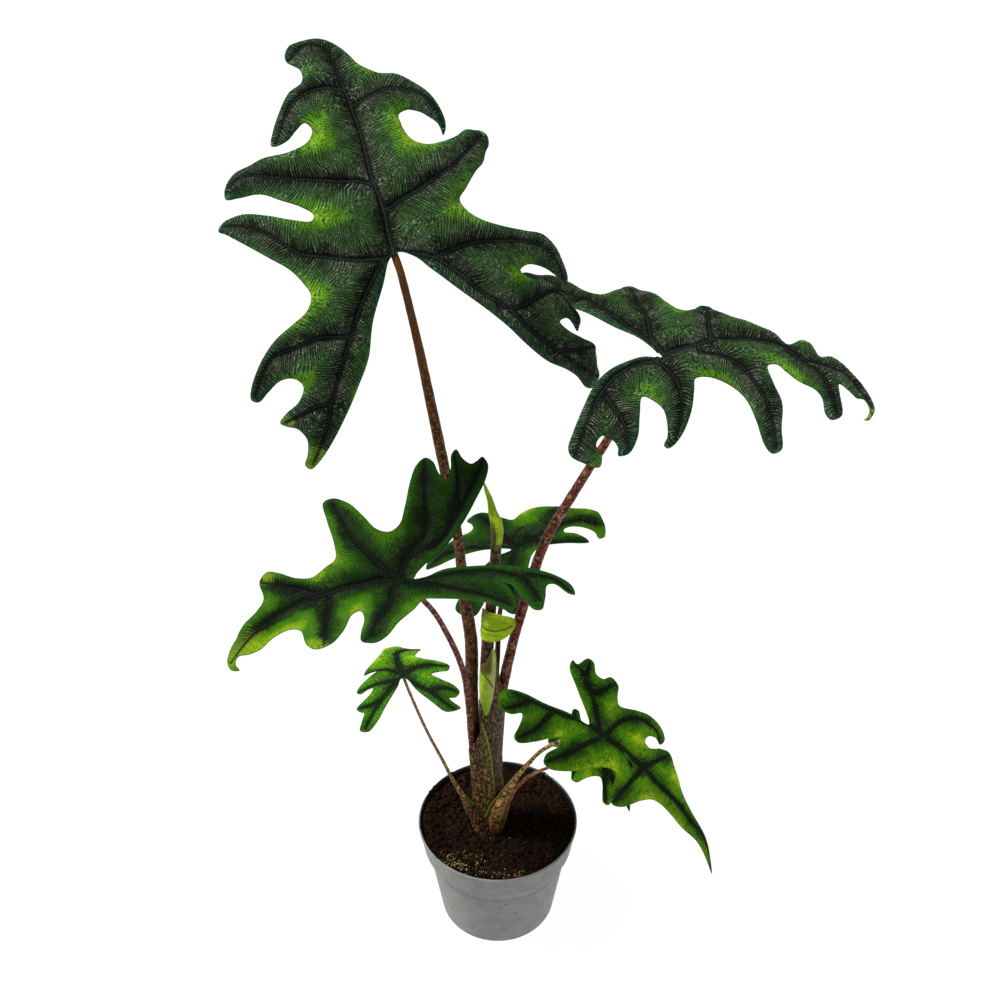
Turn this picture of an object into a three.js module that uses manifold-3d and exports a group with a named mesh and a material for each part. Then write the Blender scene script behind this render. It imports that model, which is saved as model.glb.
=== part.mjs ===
// Potted Alocasia Tandurusa: a jungle aroid with deeply cut leaves on long mottled stalks,
// in a round nursery pot. Millimetres, +Z up, origin at the middle of the pot's base,
// +X to the viewer's right and +Y away from the viewer.
import * as THREE from 'three';
import { mergeVertices } from 'three/addons/utils/BufferGeometryUtils.js';
import Module from 'manifold-3d';

const wasm = await Module();
wasm.setup();

// Driving dimensions
const GAP = 0.3; // room between two pieces that meet
const BLADE = 0.8; // thickness of a leaf blade
const POT_HEIGHT = 91;
const RIM_RADIUS = 60;
const BAND_BOTTOM = 69; // height at which the rim band steps out from the body
const BAND_RADIUS = 56.5;
const BODY_TOP_RADIUS = 53.5;
const BASE_RADIUS = 43.3;
const WALL = 1.5;
const ROUND = 48; // sides of the pot's circle, and of the soil's that fits it
const SOIL_HEIGHT = 84;
const STEM = { x: -7, y: 2, radius: 13.2, foot: 62, top: 140 };
const SOCKET_FLOOR = 128; // height of the feet of the upright stalks
const HOLE_RADIUS = 13.8; // planting hole that the stem stands in

// Finishes
const finish = (color, roughness) => new THREE.MeshStandardMaterial({ color, roughness, metalness: 0 });
const MATTE_PLASTIC = finish(0x9a9ca0, 0.6);
const PEAT = finish(0x2b1a10, 0.98);
const STEM_SKIN = finish(0x5b4632, 0.7);
const MOTTLED_STALK = finish(0x6b3d28, 0.6);
const PALE_STALK = finish(0xa9824e, 0.6);
const OLD_LEAF = finish(0x1d3f1c, 0.5);
const YOUNG_LEAF = finish(0x2f6a1c, 0.5);
const NEW_LEAF = finish(0x9ac32a, 0.5);

const group = new THREE.Group();

function place(name, geometry, material) {
  const mesh = new THREE.Mesh(geometry, material);
  mesh.name = name;
  group.add(mesh);
}

// Solids for cutting and joining
function toSolid(geometry) {
  const bare = geometry.clone();
  bare.deleteAttribute('normal');
  bare.deleteAttribute('uv');
  const merged = mergeVertices(bare, 1e-4);
  return new wasm.Manifold(new wasm.Mesh({
    numProp: 3,
    vertProperties: new Float32Array(merged.attributes.position.array),
    triVerts: new Uint32Array(merged.index.array),
  }));
}

function toGeometry(solid) {
  const mesh = solid.getMesh();
  return indexed(Array.from(mesh.vertProperties), Array.from(mesh.triVerts));
}

function indexed(positions, index) {
  const geometry = new THREE.BufferGeometry();
  geometry.setAttribute('position', new THREE.Float32BufferAttribute(positions, 3));
  geometry.setIndex(index);
  return geometry;
}

function lathe(profile, sides) {
  const points = profile.map(([radius, height]) => new THREE.Vector2(radius, height));
  const geometry = new THREE.LatheGeometry(points, sides);
  geometry.rotateX(Math.PI / 2);
  return geometry;
}

function cylinder(x, y, bottom, top, radius, sides) {
  const geometry = new THREE.CylinderGeometry(radius, radius, top - bottom, sides);
  geometry.rotateX(Math.PI / 2);
  geometry.translate(x, y, (bottom + top) / 2);
  return geometry;
}

// A leaf blade is drawn flat, u to the right of the midrib and v towards the tip, with its
// veins' junction at 0,0. Its pose lays it on a surface: head and rise turn the midrib,
// roll lifts its right side, arch and back bend it along the midrib before and behind the
// junction, fold lifts each half from the midrib and droop bends the halves down.
function leafAxes(pose) {
  const head = THREE.MathUtils.degToRad(pose.head);
  const rise = THREE.MathUtils.degToRad(pose.rise);
  const roll = THREE.MathUtils.degToRad(pose.roll ?? 0);
  const spin = THREE.MathUtils.degToRad(pose.spin ?? 0);
  const along = new THREE.Vector3(
    Math.cos(head) * Math.cos(rise), Math.sin(head) * Math.cos(rise), Math.sin(rise));
  const level = new THREE.Vector3(Math.sin(head), -Math.cos(head), 0);
  const upright = level.clone().cross(along);
  const across = level.multiplyScalar(Math.cos(roll)).addScaledVector(upright, Math.sin(roll));
  const normal = across.clone().cross(along);
  const right = across.clone().multiplyScalar(Math.cos(spin)).addScaledVector(along, Math.sin(spin));
  const tip = along.clone().multiplyScalar(Math.cos(spin)).addScaledVector(across, -Math.sin(spin));
  return { right, tip, normal };
}

// A length along an arc that starts at an angle above level and turns down by rate per mm
function bend(length, start, rate) {
  const k = Math.abs(rate) < 1e-7 ? 1e-7 : rate;
  const end = start - k * length;
  return [(Math.sin(start) - Math.sin(end)) / k, (Math.cos(end) - Math.cos(start)) / k];
}

function onBlade(pose, u, v) {
  const { right, tip, normal } = leafAxes(pose);
  const ahead = v >= 0 ? 1 : -1;
  const rate = v >= 0 ? pose.arch : pose.back;
  const [forward, lift] = bend(Math.abs(v), 0, rate);
  const slope = rate * Math.abs(v);
  const fold = THREE.MathUtils.degToRad(u < 0 ? pose.foldLeft : pose.foldRight);
  const [side, height] = bend(Math.abs(u), fold, u < 0 ? pose.droopLeft : pose.droopRight);
  return new THREE.Vector3(...pose.at)
    .addScaledVector(right, u < 0 ? -side : side)
    .addScaledVector(tip, ahead * (forward + height * Math.sin(slope)))
    .addScaledVector(normal, lift + height * Math.cos(slope));
}

function bladeNormal(pose, u, v) {
  const reach = 0.5;
  const across = onBlade(pose, u + reach, v).sub(onBlade(pose, u - reach, v));
  const along = onBlade(pose, u, v + reach).sub(onBlade(pose, u, v - reach));
  return across.cross(along).normalize();
}

// A smooth closed edge through the outline's points, with a vertex about every step mm
function smoothEdge(outline, step) {
  const corners = outline.map(([u, v]) => new THREE.Vector3(u, v, 0));
  const curve = new THREE.CatmullRomCurve3(corners, true, 'centripetal');
  const edge = [];
  corners.forEach((corner, i) => {
    const next = corners[(i + 1) % corners.length];
    const parts = Math.max(1, Math.round(corner.distanceTo(next) / step));
    for (let k = 0; k < parts; k++) {
      const point = curve.getPoint((i + k / parts) / corners.length);
      edge.push(new THREE.Vector2(point.x, point.y));
    }
  });
  return edge;
}

const turn = (a, b, c) => (b.x - a.x) * (c.y - a.y) - (b.y - a.y) * (c.x - a.x);

function distanceToEdge(point, edge) {
  let nearest = Infinity;
  edge.forEach((a, i) => {
    const b = edge[(i + 1) % edge.length];
    const line = b.clone().sub(a);
    const t = THREE.MathUtils.clamp(point.clone().sub(a).dot(line) / line.lengthSq(), 0, 1);
    nearest = Math.min(nearest, point.distanceTo(a.clone().addScaledVector(line, t)));
  });
  return nearest;
}

// Even triangles over the flat blade: the edge's polygon is cut into triangles, points of a
// staggered grid with a row on the midrib are set into it, and long thin pairs are swapped
function flatTriangles(edge, step) {
  const points = [...edge];
  const faces = THREE.ShapeUtils.triangulateShape(edge, []).map(([a, b, c]) => (
    turn(points[a], points[b], points[c]) > 0 ? [a, b, c] : [a, c, b]));
  const box = new THREE.Box2().setFromPoints(edge);
  const pitch = step * Math.sqrt(3) / 2;
  for (let i = Math.ceil(box.min.x / pitch); i * pitch < box.max.x; i++) {
    const shift = i % 2 ? step / 2 : 0;
    for (let j = Math.floor(box.min.y / step); j * step < box.max.y; j++) {
      const point = new THREE.Vector2(i * pitch, j * step + shift);
      const inside = faces.findIndex(([a, b, c]) => turn(points[a], points[b], point) > 0
        && turn(points[b], points[c], point) > 0 && turn(points[c], points[a], point) > 0);
      if (inside < 0 || distanceToEdge(point, edge) < step * 0.45) continue;
      const [a, b, c] = faces[inside];
      const p = points.push(point) - 1;
      faces.splice(inside, 1, [a, b, p], [b, c, p], [c, a, p]);
    }
  }
  swapThinPairs(points, faces);
  return { points, faces };
}

function swapThinPairs(points, faces) {
  const owner = new Map();
  const key = (a, b) => a * 100000 + b;
  const claim = (f) => faces[f].forEach((a, i) => owner.set(key(a, faces[f][(i + 1) % 3]), f));
  faces.forEach((_, f) => claim(f));
  const cotangent = (a, b, c) => {
    const toA = points[a].clone().sub(points[c]);
    const toB = points[b].clone().sub(points[c]);
    return toA.dot(toB) / toA.cross(toB);
  };
  let queue = [...owner.keys()];
  while (queue.length) {
    const edgeKey = queue.pop();
    const a = Math.floor(edgeKey / 100000);
    const b = edgeKey % 100000;
    const first = owner.get(key(a, b));
    const second = owner.get(key(b, a));
    if (first === undefined || second === undefined) continue;
    const c = faces[first].find((p) => p !== a && p !== b);
    const d = faces[second].find((p) => p !== a && p !== b);
    if (cotangent(a, b, c) + cotangent(b, a, d) > -1e-6) continue;
    owner.delete(key(a, b));
    owner.delete(key(b, a));
    faces[first] = [a, d, c];
    faces[second] = [d, b, c];
    claim(first);
    claim(second);
    queue.push(key(a, d), key(d, b), key(b, c), key(c, a));
  }
}

// A closed sheet on a leaf's surface, from low mm to high mm along its normal
function sheet(pose, edge, step, low, high) {
  const { points, faces } = flatTriangles(edge, step);
  const positions = [];
  for (const height of [high, low]) {
    for (const { x, y } of points) {
      positions.push(...onBlade(pose, x, y).addScaledVector(bladeNormal(pose, x, y), height));
    }
  }
  const under = points.length;
  const index = [];
  for (const [a, b, c] of faces) {
    index.push(a, b, c, a + under, c + under, b + under);
  }
  edge.forEach((_, a) => {
    const b = (a + 1) % edge.length;
    index.push(a + under, b + under, b, a + under, b, a);
  });
  return indexed(positions, index);
}

// A closed round stalk through points of x, y, z and diameter
function stalkTube(stations, sides, step) {
  const corners = stations.map(([x, y, z]) => new THREE.Vector3(x, y, z));
  const curve = new THREE.CatmullRomCurve3(corners, false, 'centripetal');
  const rings = [];
  stations.slice(0, -1).forEach(([, , , from], i) => {
    const to = stations[i + 1][3];
    const parts = Math.max(1, Math.round(corners[i].distanceTo(corners[i + 1]) / step));
    for (let k = 0; k < parts; k++) {
      rings.push([(i + k / parts) / (corners.length - 1), THREE.MathUtils.lerp(from, to, k / parts) / 2]);
    }
  });
  rings.push([1, stations[stations.length - 1][3] / 2]);
  const positions = [];
  const side = new THREE.Vector3(1, 0, 0);
  for (const [t, radius] of rings) {
    const centre = curve.getPoint(t);
    const along = curve.getTangent(t);
    side.addScaledVector(along, -side.dot(along)).normalize();
    const other = along.clone().cross(side);
    for (let k = 0; k < sides; k++) {
      const angle = 2 * Math.PI * k / sides;
      positions.push(...centre.clone()
        .addScaledVector(side, radius * Math.cos(angle))
        .addScaledVector(other, radius * Math.sin(angle)));
    }
  }
  const foot = positions.push(...curve.getPoint(0)) / 3 - 1;
  const head = positions.push(...curve.getPoint(1)) / 3 - 1;
  const index = [];
  const last = (rings.length - 1) * sides;
  for (let k = 0; k < sides; k++) {
    const next = (k + 1) % sides;
    for (let ring = 0; ring < last; ring += sides) {
      index.push(ring + k, ring + next, ring + sides + next, ring + k, ring + sides + next, ring + sides + k);
    }
    index.push(foot, next, k, head, last + k, last + next);
  }
  return indexed(positions, index);
}

// Nursery pot: a tapered round wall, a rim band that stands out by 3 mm and a flat floor
const bodyRadius = (z) => THREE.MathUtils.lerp(BASE_RADIUS, BODY_TOP_RADIUS, z / BAND_BOTTOM);
const bandRadius = (z) => THREE.MathUtils.lerp(
  BAND_RADIUS, RIM_RADIUS - 0.6, (z - BAND_BOTTOM) / (POT_HEIGHT - BAND_BOTTOM));
const innerRadius = (z) => (z < BAND_BOTTOM + 1 ? bodyRadius(z) : bandRadius(z)) - WALL;

function pot() {
  const drains = { count: 6, radius: 2.8, from: 30 };
  const profile = [
    [0, 0], [BASE_RADIUS - 2.4, 0], [BASE_RADIUS - 0.7, 0.7], [bodyRadius(2.6), 2.6],
    [bodyRadius(BAND_BOTTOM - 1), BAND_BOTTOM - 1], [BAND_RADIUS - 0.3, BAND_BOTTOM],
    [BAND_RADIUS, BAND_BOTTOM + 0.6], [bandRadius(POT_HEIGHT - 2.6), POT_HEIGHT - 2.6],
    [RIM_RADIUS, POT_HEIGHT - 2], [RIM_RADIUS, POT_HEIGHT - 0.4], [RIM_RADIUS - 0.4, POT_HEIGHT],
    [RIM_RADIUS - 1.8, POT_HEIGHT], [bandRadius(POT_HEIGHT - 1) - WALL, POT_HEIGHT - 1],
    [bandRadius(BAND_BOTTOM + 1.6) - WALL, BAND_BOTTOM + 1.6],
    [bodyRadius(BAND_BOTTOM) - WALL, BAND_BOTTOM], [bodyRadius(WALL) - WALL, WALL], [0, WALL],
  ];
  let solid = toSolid(lathe(profile, ROUND));
  for (let i = 0; i < drains.count; i++) {
    const angle = 2 * Math.PI * (i + 0.5) / drains.count;
    const x = drains.from * Math.cos(angle);
    const y = drains.from * Math.sin(angle);
    solid = solid.subtract(toSolid(cylinder(x, y, -1, WALL + 1, drains.radius, 12)));
  }
  return toGeometry(solid);
}

// Peat that fills the pot, uneven on top, with a plain round planting hole for the stem
function soil() {
  const skin = WALL + GAP;
  const top = [0.94, 0.8, 0.64, 0.48, 0.3].map((part) => [innerRadius(SOIL_HEIGHT) * part, SOIL_HEIGHT]);
  const profile = [
    [0, skin], [innerRadius(skin) - GAP - 0.6, skin], [innerRadius(4) - GAP, 4],
    [innerRadius(BAND_BOTTOM) - GAP, BAND_BOTTOM], [innerRadius(BAND_BOTTOM + 3) - GAP, BAND_BOTTOM + 3],
    [innerRadius(SOIL_HEIGHT - 3) - GAP, SOIL_HEIGHT - 2.2], ...top, [0, SOIL_HEIGHT],
  ];
  const geometry = lathe(profile, ROUND);
  const position = geometry.attributes.position;
  for (let i = 0; i < position.count; i++) {
    if (position.getZ(i) < SOIL_HEIGHT - 1) continue;
    const x = position.getX(i);
    const y = position.getY(i);
    const swell = 0.7 * Math.sin(x / 9 + 1.2) * Math.cos(y / 11) + 0.5 * Math.sin((x + y) / 6);
    position.setZ(i, SOIL_HEIGHT + swell);
  }
  const hole = cylinder(STEM.x, STEM.y, STEM.foot - GAP, SOIL_HEIGHT + 10, HOLE_RADIUS, 28);
  return toGeometry(toSolid(geometry).subtract(toSolid(hole)));
}

// Leaves a to g. Each has its pose, its outline, the size of its triangles and its stalk,
// given from the foot up as x, y, z and diameter, and ending under the blade's junction.
const LEAVES = {
  a: {
    pose: {
      at: [-57.8, 0, 555.7], head: 110, rise: 52, arch: 0.003, back: 0.005,
      foldLeft: 4, foldRight: 4, droopLeft: 0.0035, droopRight: 0.0035,
    },
    outline: [
      [3, 0], [11, -4], [21, -14], [33, -26], [46, -38], [60, -52], [72, -66], [85, -79],
      [99, -88], [107, -95], [114, -105], [120, -107], [124, -102], [124, -90], [122, -77],
      [113, -70], [103, -63], [97, -56], [103, -55], [107, -60], [110, -65], [112, -61],
      [112, -55], [106, -46], [100, -38], [91, -29], [81, -27], [74, -21], [80, -18],
      [91, -21], [98, -26], [104, -34], [107, -30], [106, -20], [103, -9], [95, 0], [84, 3],
      [69, 7], [56, 12], [48, 18], [45, 25], [51, 32], [60, 42], [66, 47], [70, 54],
      [74, 60], [73, 66], [62, 70], [54, 66], [44, 63], [34, 62], [26, 66], [22, 75],
      [22, 82], [29, 85], [38, 82], [44, 75], [46, 67], [49, 73], [49, 82], [45, 95],
      [38, 104], [28, 111], [17, 113], [8, 121], [4, 130], [-2, 140], [-10, 145],
      [-19, 144], [-28, 142], [-33, 134], [-33, 128], [-27, 123], [-28, 113],
      [-37, 107], [-46, 94], [-52, 83], [-55, 74], [-52, 73], [-45, 76], [-38, 82],
      [-33, 85], [-30, 80], [-34, 73], [-45, 69], [-60, 68], [-70, 65], [-79, 62],
      [-86, 54], [-87, 48], [-80, 47], [-67, 46], [-57, 40], [-47, 34], [-41, 28],
      [-43, 25], [-54, 28], [-66, 33], [-80, 37], [-90, 35], [-95, 30], [-91, 27],
      [-80, 17], [-70, 8], [-61, 0], [-55, -9], [-52, -17], [-56, -25], [-65, -31],
      [-76, -38], [-86, -49], [-94, -64], [-95, -71], [-91, -73], [-85, -68], [-77, -62],
      [-69, -62], [-65, -67], [-69, -76], [-77, -82], [-81, -87], [-77, -90], [-71, -93],
      [-67, -100], [-68, -110], [-70, -116], [-67, -119], [-61, -114], [-53, -104],
      [-42, -86], [-34, -72], [-26, -57], [-20, -37], [-10, -17], [-3, -3],
    ],
    step: 11,
    finish: OLD_LEAF,
    stalk: [
      [-13, 3, SOCKET_FLOOR, 9.6], [-14.5, 3, 149, 9.6], [-18.2, 3, 209, 9.2],
      [-18.2, 3, 265, 8.9], [-21.9, 3, 300, 8.1], [-26.2, 2, 358, 6.5], [-36.4, 1, 429, 6.8],
      [-48.6, -1, 509, 5], [-55.4, -1.5, 545, 4.5],
    ],
    stalkFinish: MOTTLED_STALK,
  },
  b: {
    pose: {
      at: [95.6, -25, 504.5], head: 3, rise: 0, roll: -10, arch: 0.004, back: 0.002,
      foldLeft: 2, foldRight: -8, droopLeft: 0.003, droopRight: 0.016,
    },
    outline: [
      [1, -1], [0, -9], [2, -17], [8, -31], [17, -41], [30, -49], [45, -57], [54, -61],
      [59, -60], [66, -50], [68, -43], [61, -41], [54, -44], [49, -40], [52, -34], [57, -31],
      [62, -31], [61, -25], [52, -19], [38, -17], [28, -15], [31, -8], [36, -3], [44, -1],
      [52, -1], [57, -3], [59, 0], [51, 8], [37, 14], [24, 16], [17, 17], [16, 24], [20, 37],
      [27, 47], [39, 55], [52, 63], [57, 70], [53, 76], [42, 73], [26, 71], [14, 65],
      [3, 62], [1, 68], [5, 73], [10, 81], [12, 93], [16, 98], [25, 101], [28, 106],
      [22, 113], [9, 111], [1, 111], [3, 117], [6, 124], [6, 129], [12, 133], [17, 132],
      [20, 129], [18, 134], [9, 137], [-5, 134], [-14, 128], [-22, 120], [-25, 112],
      [-21, 102], [-30, 98], [-31, 92], [-24, 81], [-32, 73], [-36, 62], [-42, 49],
      [-50, 39], [-52, 31], [-45, 18], [-53, 10], [-66, 4], [-74, -6], [-77, -14],
      [-73, -21], [-67, -28], [-74, -38], [-89, -47], [-105, -58], [-110, -68],
      [-118, -77], [-106, -75], [-88, -69], [-69, -60], [-57, -52], [-47, -41],
      [-31, -27], [-16, -12], [-3, -3],
    ],
    step: 9,
    finish: OLD_LEAF,
    stalk: [
      [-1, 4.5, SOCKET_FLOOR, 8.1], [-1, 4.5, 148, 8.1], [1.7, 4, 208, 7.8], [4.5, 4, 227, 7.7],
      [11, 4, 264, 6.8], [18.5, 2, 301, 7.2], [31.4, -4, 356, 6.5], [43.4, -8, 386, 6.2],
      [66.3, -17, 440, 5.4], [90, -23.5, 492, 4.8],
    ],
    stalkFinish: MOTTLED_STALK,
  },
  c: {
    pose: {
      at: [-57.8, -75, 379.5], head: 197, rise: -6, roll: 20, arch: 0.003, back: 0.001,
      foldLeft: 20, foldRight: 20, droopLeft: 0.002, droopRight: 0.003,
    },
    outline: [
      [-2, -8], [3, -14], [11, -30], [24, -46], [38, -59], [49, -68], [58, -72], [64, -70],
      [62, -66], [61, -62], [66, -58], [73, -56], [70, -52], [61, -49], [54, -44], [60, -41],
      [68, -40], [72, -36], [68, -29], [59, -23], [43, -15], [33, -9], [30, -2], [34, 5],
      [44, 10], [55, 16], [61, 24], [60, 30], [49, 31], [32, 31], [23, 33], [20, 40],
      [17, 49], [20, 58], [27, 67], [30, 73], [26, 79], [15, 80], [10, 86], [5, 97],
      [-4, 106], [-15, 110], [-24, 108], [-27, 103], [-21, 105], [-16, 103], [-18, 95],
      [-18, 89], [-13, 80], [-12, 70], [-16, 64], [-29, 62], [-35, 57], [-35, 49], [-28, 40],
      [-18, 33], [-17, 28], [-24, 27], [-34, 31], [-41, 32], [-45, 25], [-43, 18], [-35, 9],
      [-29, -1], [-23, -9], [-25, -16], [-34, -36], [-41, -45], [-48, -51], [-47, -57],
      [-40, -59], [-31, -58], [-23, -55], [-28, -60], [-42, -63], [-53, -66], [-54, -70],
      [-46, -75], [-36, -80], [-37, -84], [-47, -89], [-49, -92], [-41, -93], [-31, -88],
      [-20, -77], [-11, -62], [-5, -45], [-1, -28], [-3, -16],
    ],
    step: 9,
    finish: YOUNG_LEAF,
    stalk: [
      [-16, -6, SOCKET_FLOOR, 5], [-16.5, -6, 145, 5], [-18.6, -6.4, 179, 5], [-19.8, -8, 209, 4.9],
      [-22.2, -13, 244, 4.6], [-25, -19.5, 264, 4.2], [-28.5, -27.5, 284, 4], [-33, -36.5, 305, 3.8],
      [-38.4, -47.5, 328.5, 3.5], [-45.4, -58.5, 349.5, 3.4], [-55, -71, 371, 3.2],
    ],
    stalkFinish: MOTTLED_STALK,
  },
  d: {
    pose: {
      at: [12.4, 70, 294.8], head: 8, rise: 5, arch: 0.003, back: 0.001,
      foldLeft: 6, foldRight: 0, droopLeft: 0.003, droopRight: 0.014,
    },
    outline: [
      [1, -3], [6, -14], [14, -25], [24, -36], [36, -46], [44, -50], [50, -44], [51, -37],
      [44, -30], [38, -25], [46, -19], [54, -12], [54, -4], [46, 0], [34, 2], [22, 6],
      [10, 11], [3, 18], [1, 28], [1, 39], [2, 48], [1, 54], [-4, 52], [-9, 46], [-11, 38],
      [-14, 38], [-17, 44], [-15, 54], [-10, 60], [-3, 62], [-4, 66], [-14, 69], [-24, 69],
      [-34, 67], [-38, 60], [-39, 52], [-42, 42], [-44, 28], [-42, 18], [-36, 9], [-31, 3],
      [-36, -4], [-44, -12], [-47, -18], [-45, -25], [-39, -30], [-34, -27], [-28, -27],
      [-24, -31], [-22, -38], [-17, -46], [-10, -56], [-2, -63], [6, -65], [5, -58],
      [1, -48], [-2, -36], [-3, -22], [-2, -10],
    ],
    step: 9,
    finish: YOUNG_LEAF,
    stalk: [
      [-6.5, 12, SOCKET_FLOOR, 4.5], [-5.7, 12, 145, 4.5], [-1.9, 12, 181, 4.4], [-1.2, 16, 216, 4.2],
      [-0.2, 23, 231, 3.9], [0.3, 30, 242, 3.9], [1, 40, 252, 3.6], [2.4, 48, 259, 3.2],
      [4.4, 60, 272, 2.7], [9.5, 67.5, 287, 2.5],
    ],
    stalkFinish: MOTTLED_STALK,
  },
  e: {
    pose: {
      at: [-61.7, -40, 270.8], head: 108, rise: 8, arch: 0.014, back: 0.018,
      foldLeft: 4, foldRight: 4, droopLeft: 0.006, droopRight: 0.006,
    },
    outline: [
      [1, -2], [5, -12], [13, -23], [20, -31], [25, -32], [31, -31], [27, -26], [25, -23],
      [30, -23], [33, -20], [31, -15], [23, -8], [18, -3], [24, -2], [30, -2], [32, 2],
      [25, 8], [16, 13], [12, 17], [15, 21], [18, 24], [12, 27], [8, 30], [5, 35], [0, 37],
      [-5, 35], [-9, 28], [-14, 22], [-22, 14], [-25, 9], [-20, 10], [-16, 10], [-19, 8],
      [-28, 2], [-33, -4], [-31, -6], [-25, -4], [-22, -4], [-24, -7], [-31, -12],
      [-36, -16], [-34, -19], [-32, -20], [-35, -26], [-37, -31], [-32, -33], [-25, -28],
      [-17, -19], [-6, -7], [-2, -1],
    ],
    step: 6,
    finish: YOUNG_LEAF,
    stalk: [
      [-14, -2, SOIL_HEIGHT, 6.4], [-17, -3, 93, 6.4], [-21.5, -5, 104, 5.6], [-24.3, -8, 119, 4.6],
      [-29.1, -11, 135, 3.4], [-33.8, -14, 150, 2.6], [-38.4, -18, 168, 2.4], [-48.4, -26, 205, 2.1],
      [-56.4, -34, 241, 2], [-61, -39, 264, 2],
    ],
    stalkFinish: PALE_STALK,
  },
  f: {
    pose: {
      at: [71.5, -45, 221.9], head: -40, rise: -40, spin: 12, arch: 0.002, back: 0.001,
      foldLeft: 4, foldRight: 4, droopLeft: 0.003, droopRight: 0.003,
    },
    outline: [
      [1, -12], [6, -28], [14, -46], [19, -61], [26, -72], [33, -74], [40, -68], [38, -60],
      [32, -54], [39, -51], [49, -49], [50, -45], [41, -36], [30, -28], [26, -24], [30, -21],
      [42, -25], [48, -23], [48, -17], [39, -5], [27, 5], [17, 15], [15, 22], [22, 25],
      [31, 27], [34, 32], [30, 39], [16, 48], [8, 55], [5, 62], [4, 75], [4, 86], [1, 103],
      [3, 114], [8, 127], [-1, 118], [-7, 107], [-11, 87], [-16, 71], [-24, 59], [-30, 48],
      [-27, 41], [-20, 33], [-21, 28], [-26, 28], [-30, 33], [-29, 39], [-35, 40], [-40, 33],
      [-40, 21], [-35, 11], [-27, -2], [-31, -6], [-39, -10], [-40, -18], [-34, -22],
      [-33, -28], [-39, -34], [-38, -39], [-28, -43], [-28, -47], [-22, -46], [-12, -32],
      [-2, -15],
    ],
    step: 8.5,
    finish: YOUNG_LEAF,
    stalk: [
      [-3.6, -6, SOIL_HEIGHT - 1, 9], [-2.5, -8, 95, 10], [-1.3, -9.5, 104, 10.2], [1.7, -12, 119, 9.4],
      [6.1, -15, 134, 7], [10.4, -18, 147, 5.1], [16, -21, 161, 3.8], [23, -24, 175, 3.2],
      [29.8, -27, 188, 2.8], [43.3, -32, 203, 2.8], [56.6, -38, 212, 2.7], [66, -42.5, 218, 2.7],
    ],
    stalkFinish: PALE_STALK,
  },
  g: {
    pose: {
      at: [70.8, -22, 186.6], head: -70, rise: -40, roll: -18, arch: 0.003, back: 0.002,
      foldLeft: 4, foldRight: 4, droopLeft: 0.004, droopRight: 0.004,
    },
    outline: [
      [1, -5], [4, -13], [6, -22], [6, -29], [9, -31], [12, -27], [13, -21], [16, -17], [21, -17],
      [30, -17], [33, -14], [31, -10], [23, -6], [18, -1], [21, 6], [23, 12], [24, 16], [21, 19],
      [15, 18], [8, 18], [4, 20], [4, 25], [6, 32], [7, 37], [4, 40], [0, 37], [-4, 33],
      [-6, 32], [-7, 37], [-8, 44], [-9, 48], [-12, 40], [-14, 32], [-20, 26], [-26, 21],
      [-32, 20], [-35, 16], [-31, 12], [-23, 11], [-18, 8], [-24, 2], [-32, -3], [-34, -8],
      [-29, -11], [-22, -8], [-15, -5], [-14, -11], [-18, -19], [-17, -24], [-13, -22],
      [-8, -15], [-4, -8],
    ],
    step: 6.5,
    finish: YOUNG_LEAF,
    stalk: [
      [4, 2, SOIL_HEIGHT, 4.6], [5.4, 1, 95, 4.6], [7.7, -3, 112, 4.5], [11.3, -7, 127, 3.7],
      [16.3, -10, 138, 2.9], [22, -13, 148, 2.9], [29.1, -16, 157, 2.4], [36, -18, 163, 2.2],
      [51, -20, 174, 2.2], [64, -21.5, 183, 2.2],
    ],
    stalkFinish: PALE_STALK,
  },
};

// A stalk runs on into its blade's junction and is cut off just under the blade
function leafStalk({ pose, stalk }) {
  const joint = [0, 3];
  const beyond = 1.5;
  const end = onBlade(pose, ...joint).addScaledVector(bladeNormal(pose, ...joint), beyond);
  const tube = stalkTube([...stalk, [...end, stalk[stalk.length - 1][3]]], 8, 22);
  const round = new THREE.EllipseCurve(joint[0], joint[1], 9, 9).getPoints(16).slice(0, -1);
  const above = sheet(pose, round, 4, -BLADE / 2 - GAP, 9);
  return toGeometry(toSolid(tube).subtract(toSolid(above)));
}

for (const [name, leaf] of Object.entries(LEAVES)) {
  const edge = smoothEdge(leaf.outline, leaf.step * 0.6);
  place(`blade_${name}`, sheet(leaf.pose, edge, leaf.step, -BLADE / 2, BLADE / 2), leaf.finish);
  place(`stalk_${name}`, leafStalk(leaf), leaf.stalkFinish);
}

// The newest leaf: its stalk in the middle of the clump, and the blade still rolled up on it
const NEW_STALK = [
  [-6, -5, SOCKET_FLOOR, 9.4], [-7, -5, 157, 9.4], [-8.2, -4, 216, 9.2], [-6.5, -3, 270, 8.6],
  [-4.3, -2, 300, 7.4], [-1.6, -2, 335, 7.2], [-0.6, -2, 352, 7.1],
];
place('stalk_h', stalkTube(NEW_STALK, 10, 22), MOTTLED_STALK);

const SPEAR = [
  [-0.6, -2, 352 + GAP, 7.1], [-0.2, -2, 362, 8.4], [-0.9, -2, 369, 7.7], [-2.8, -2, 376, 5.8],
  [-4.7, -2, 386, 3.8], [-7.1, -2, 394, 2.5], [-8.4, -2, 399, 1],
];
place('spear', stalkTube(SPEAR, 10, 22), NEW_LEAF);

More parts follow.
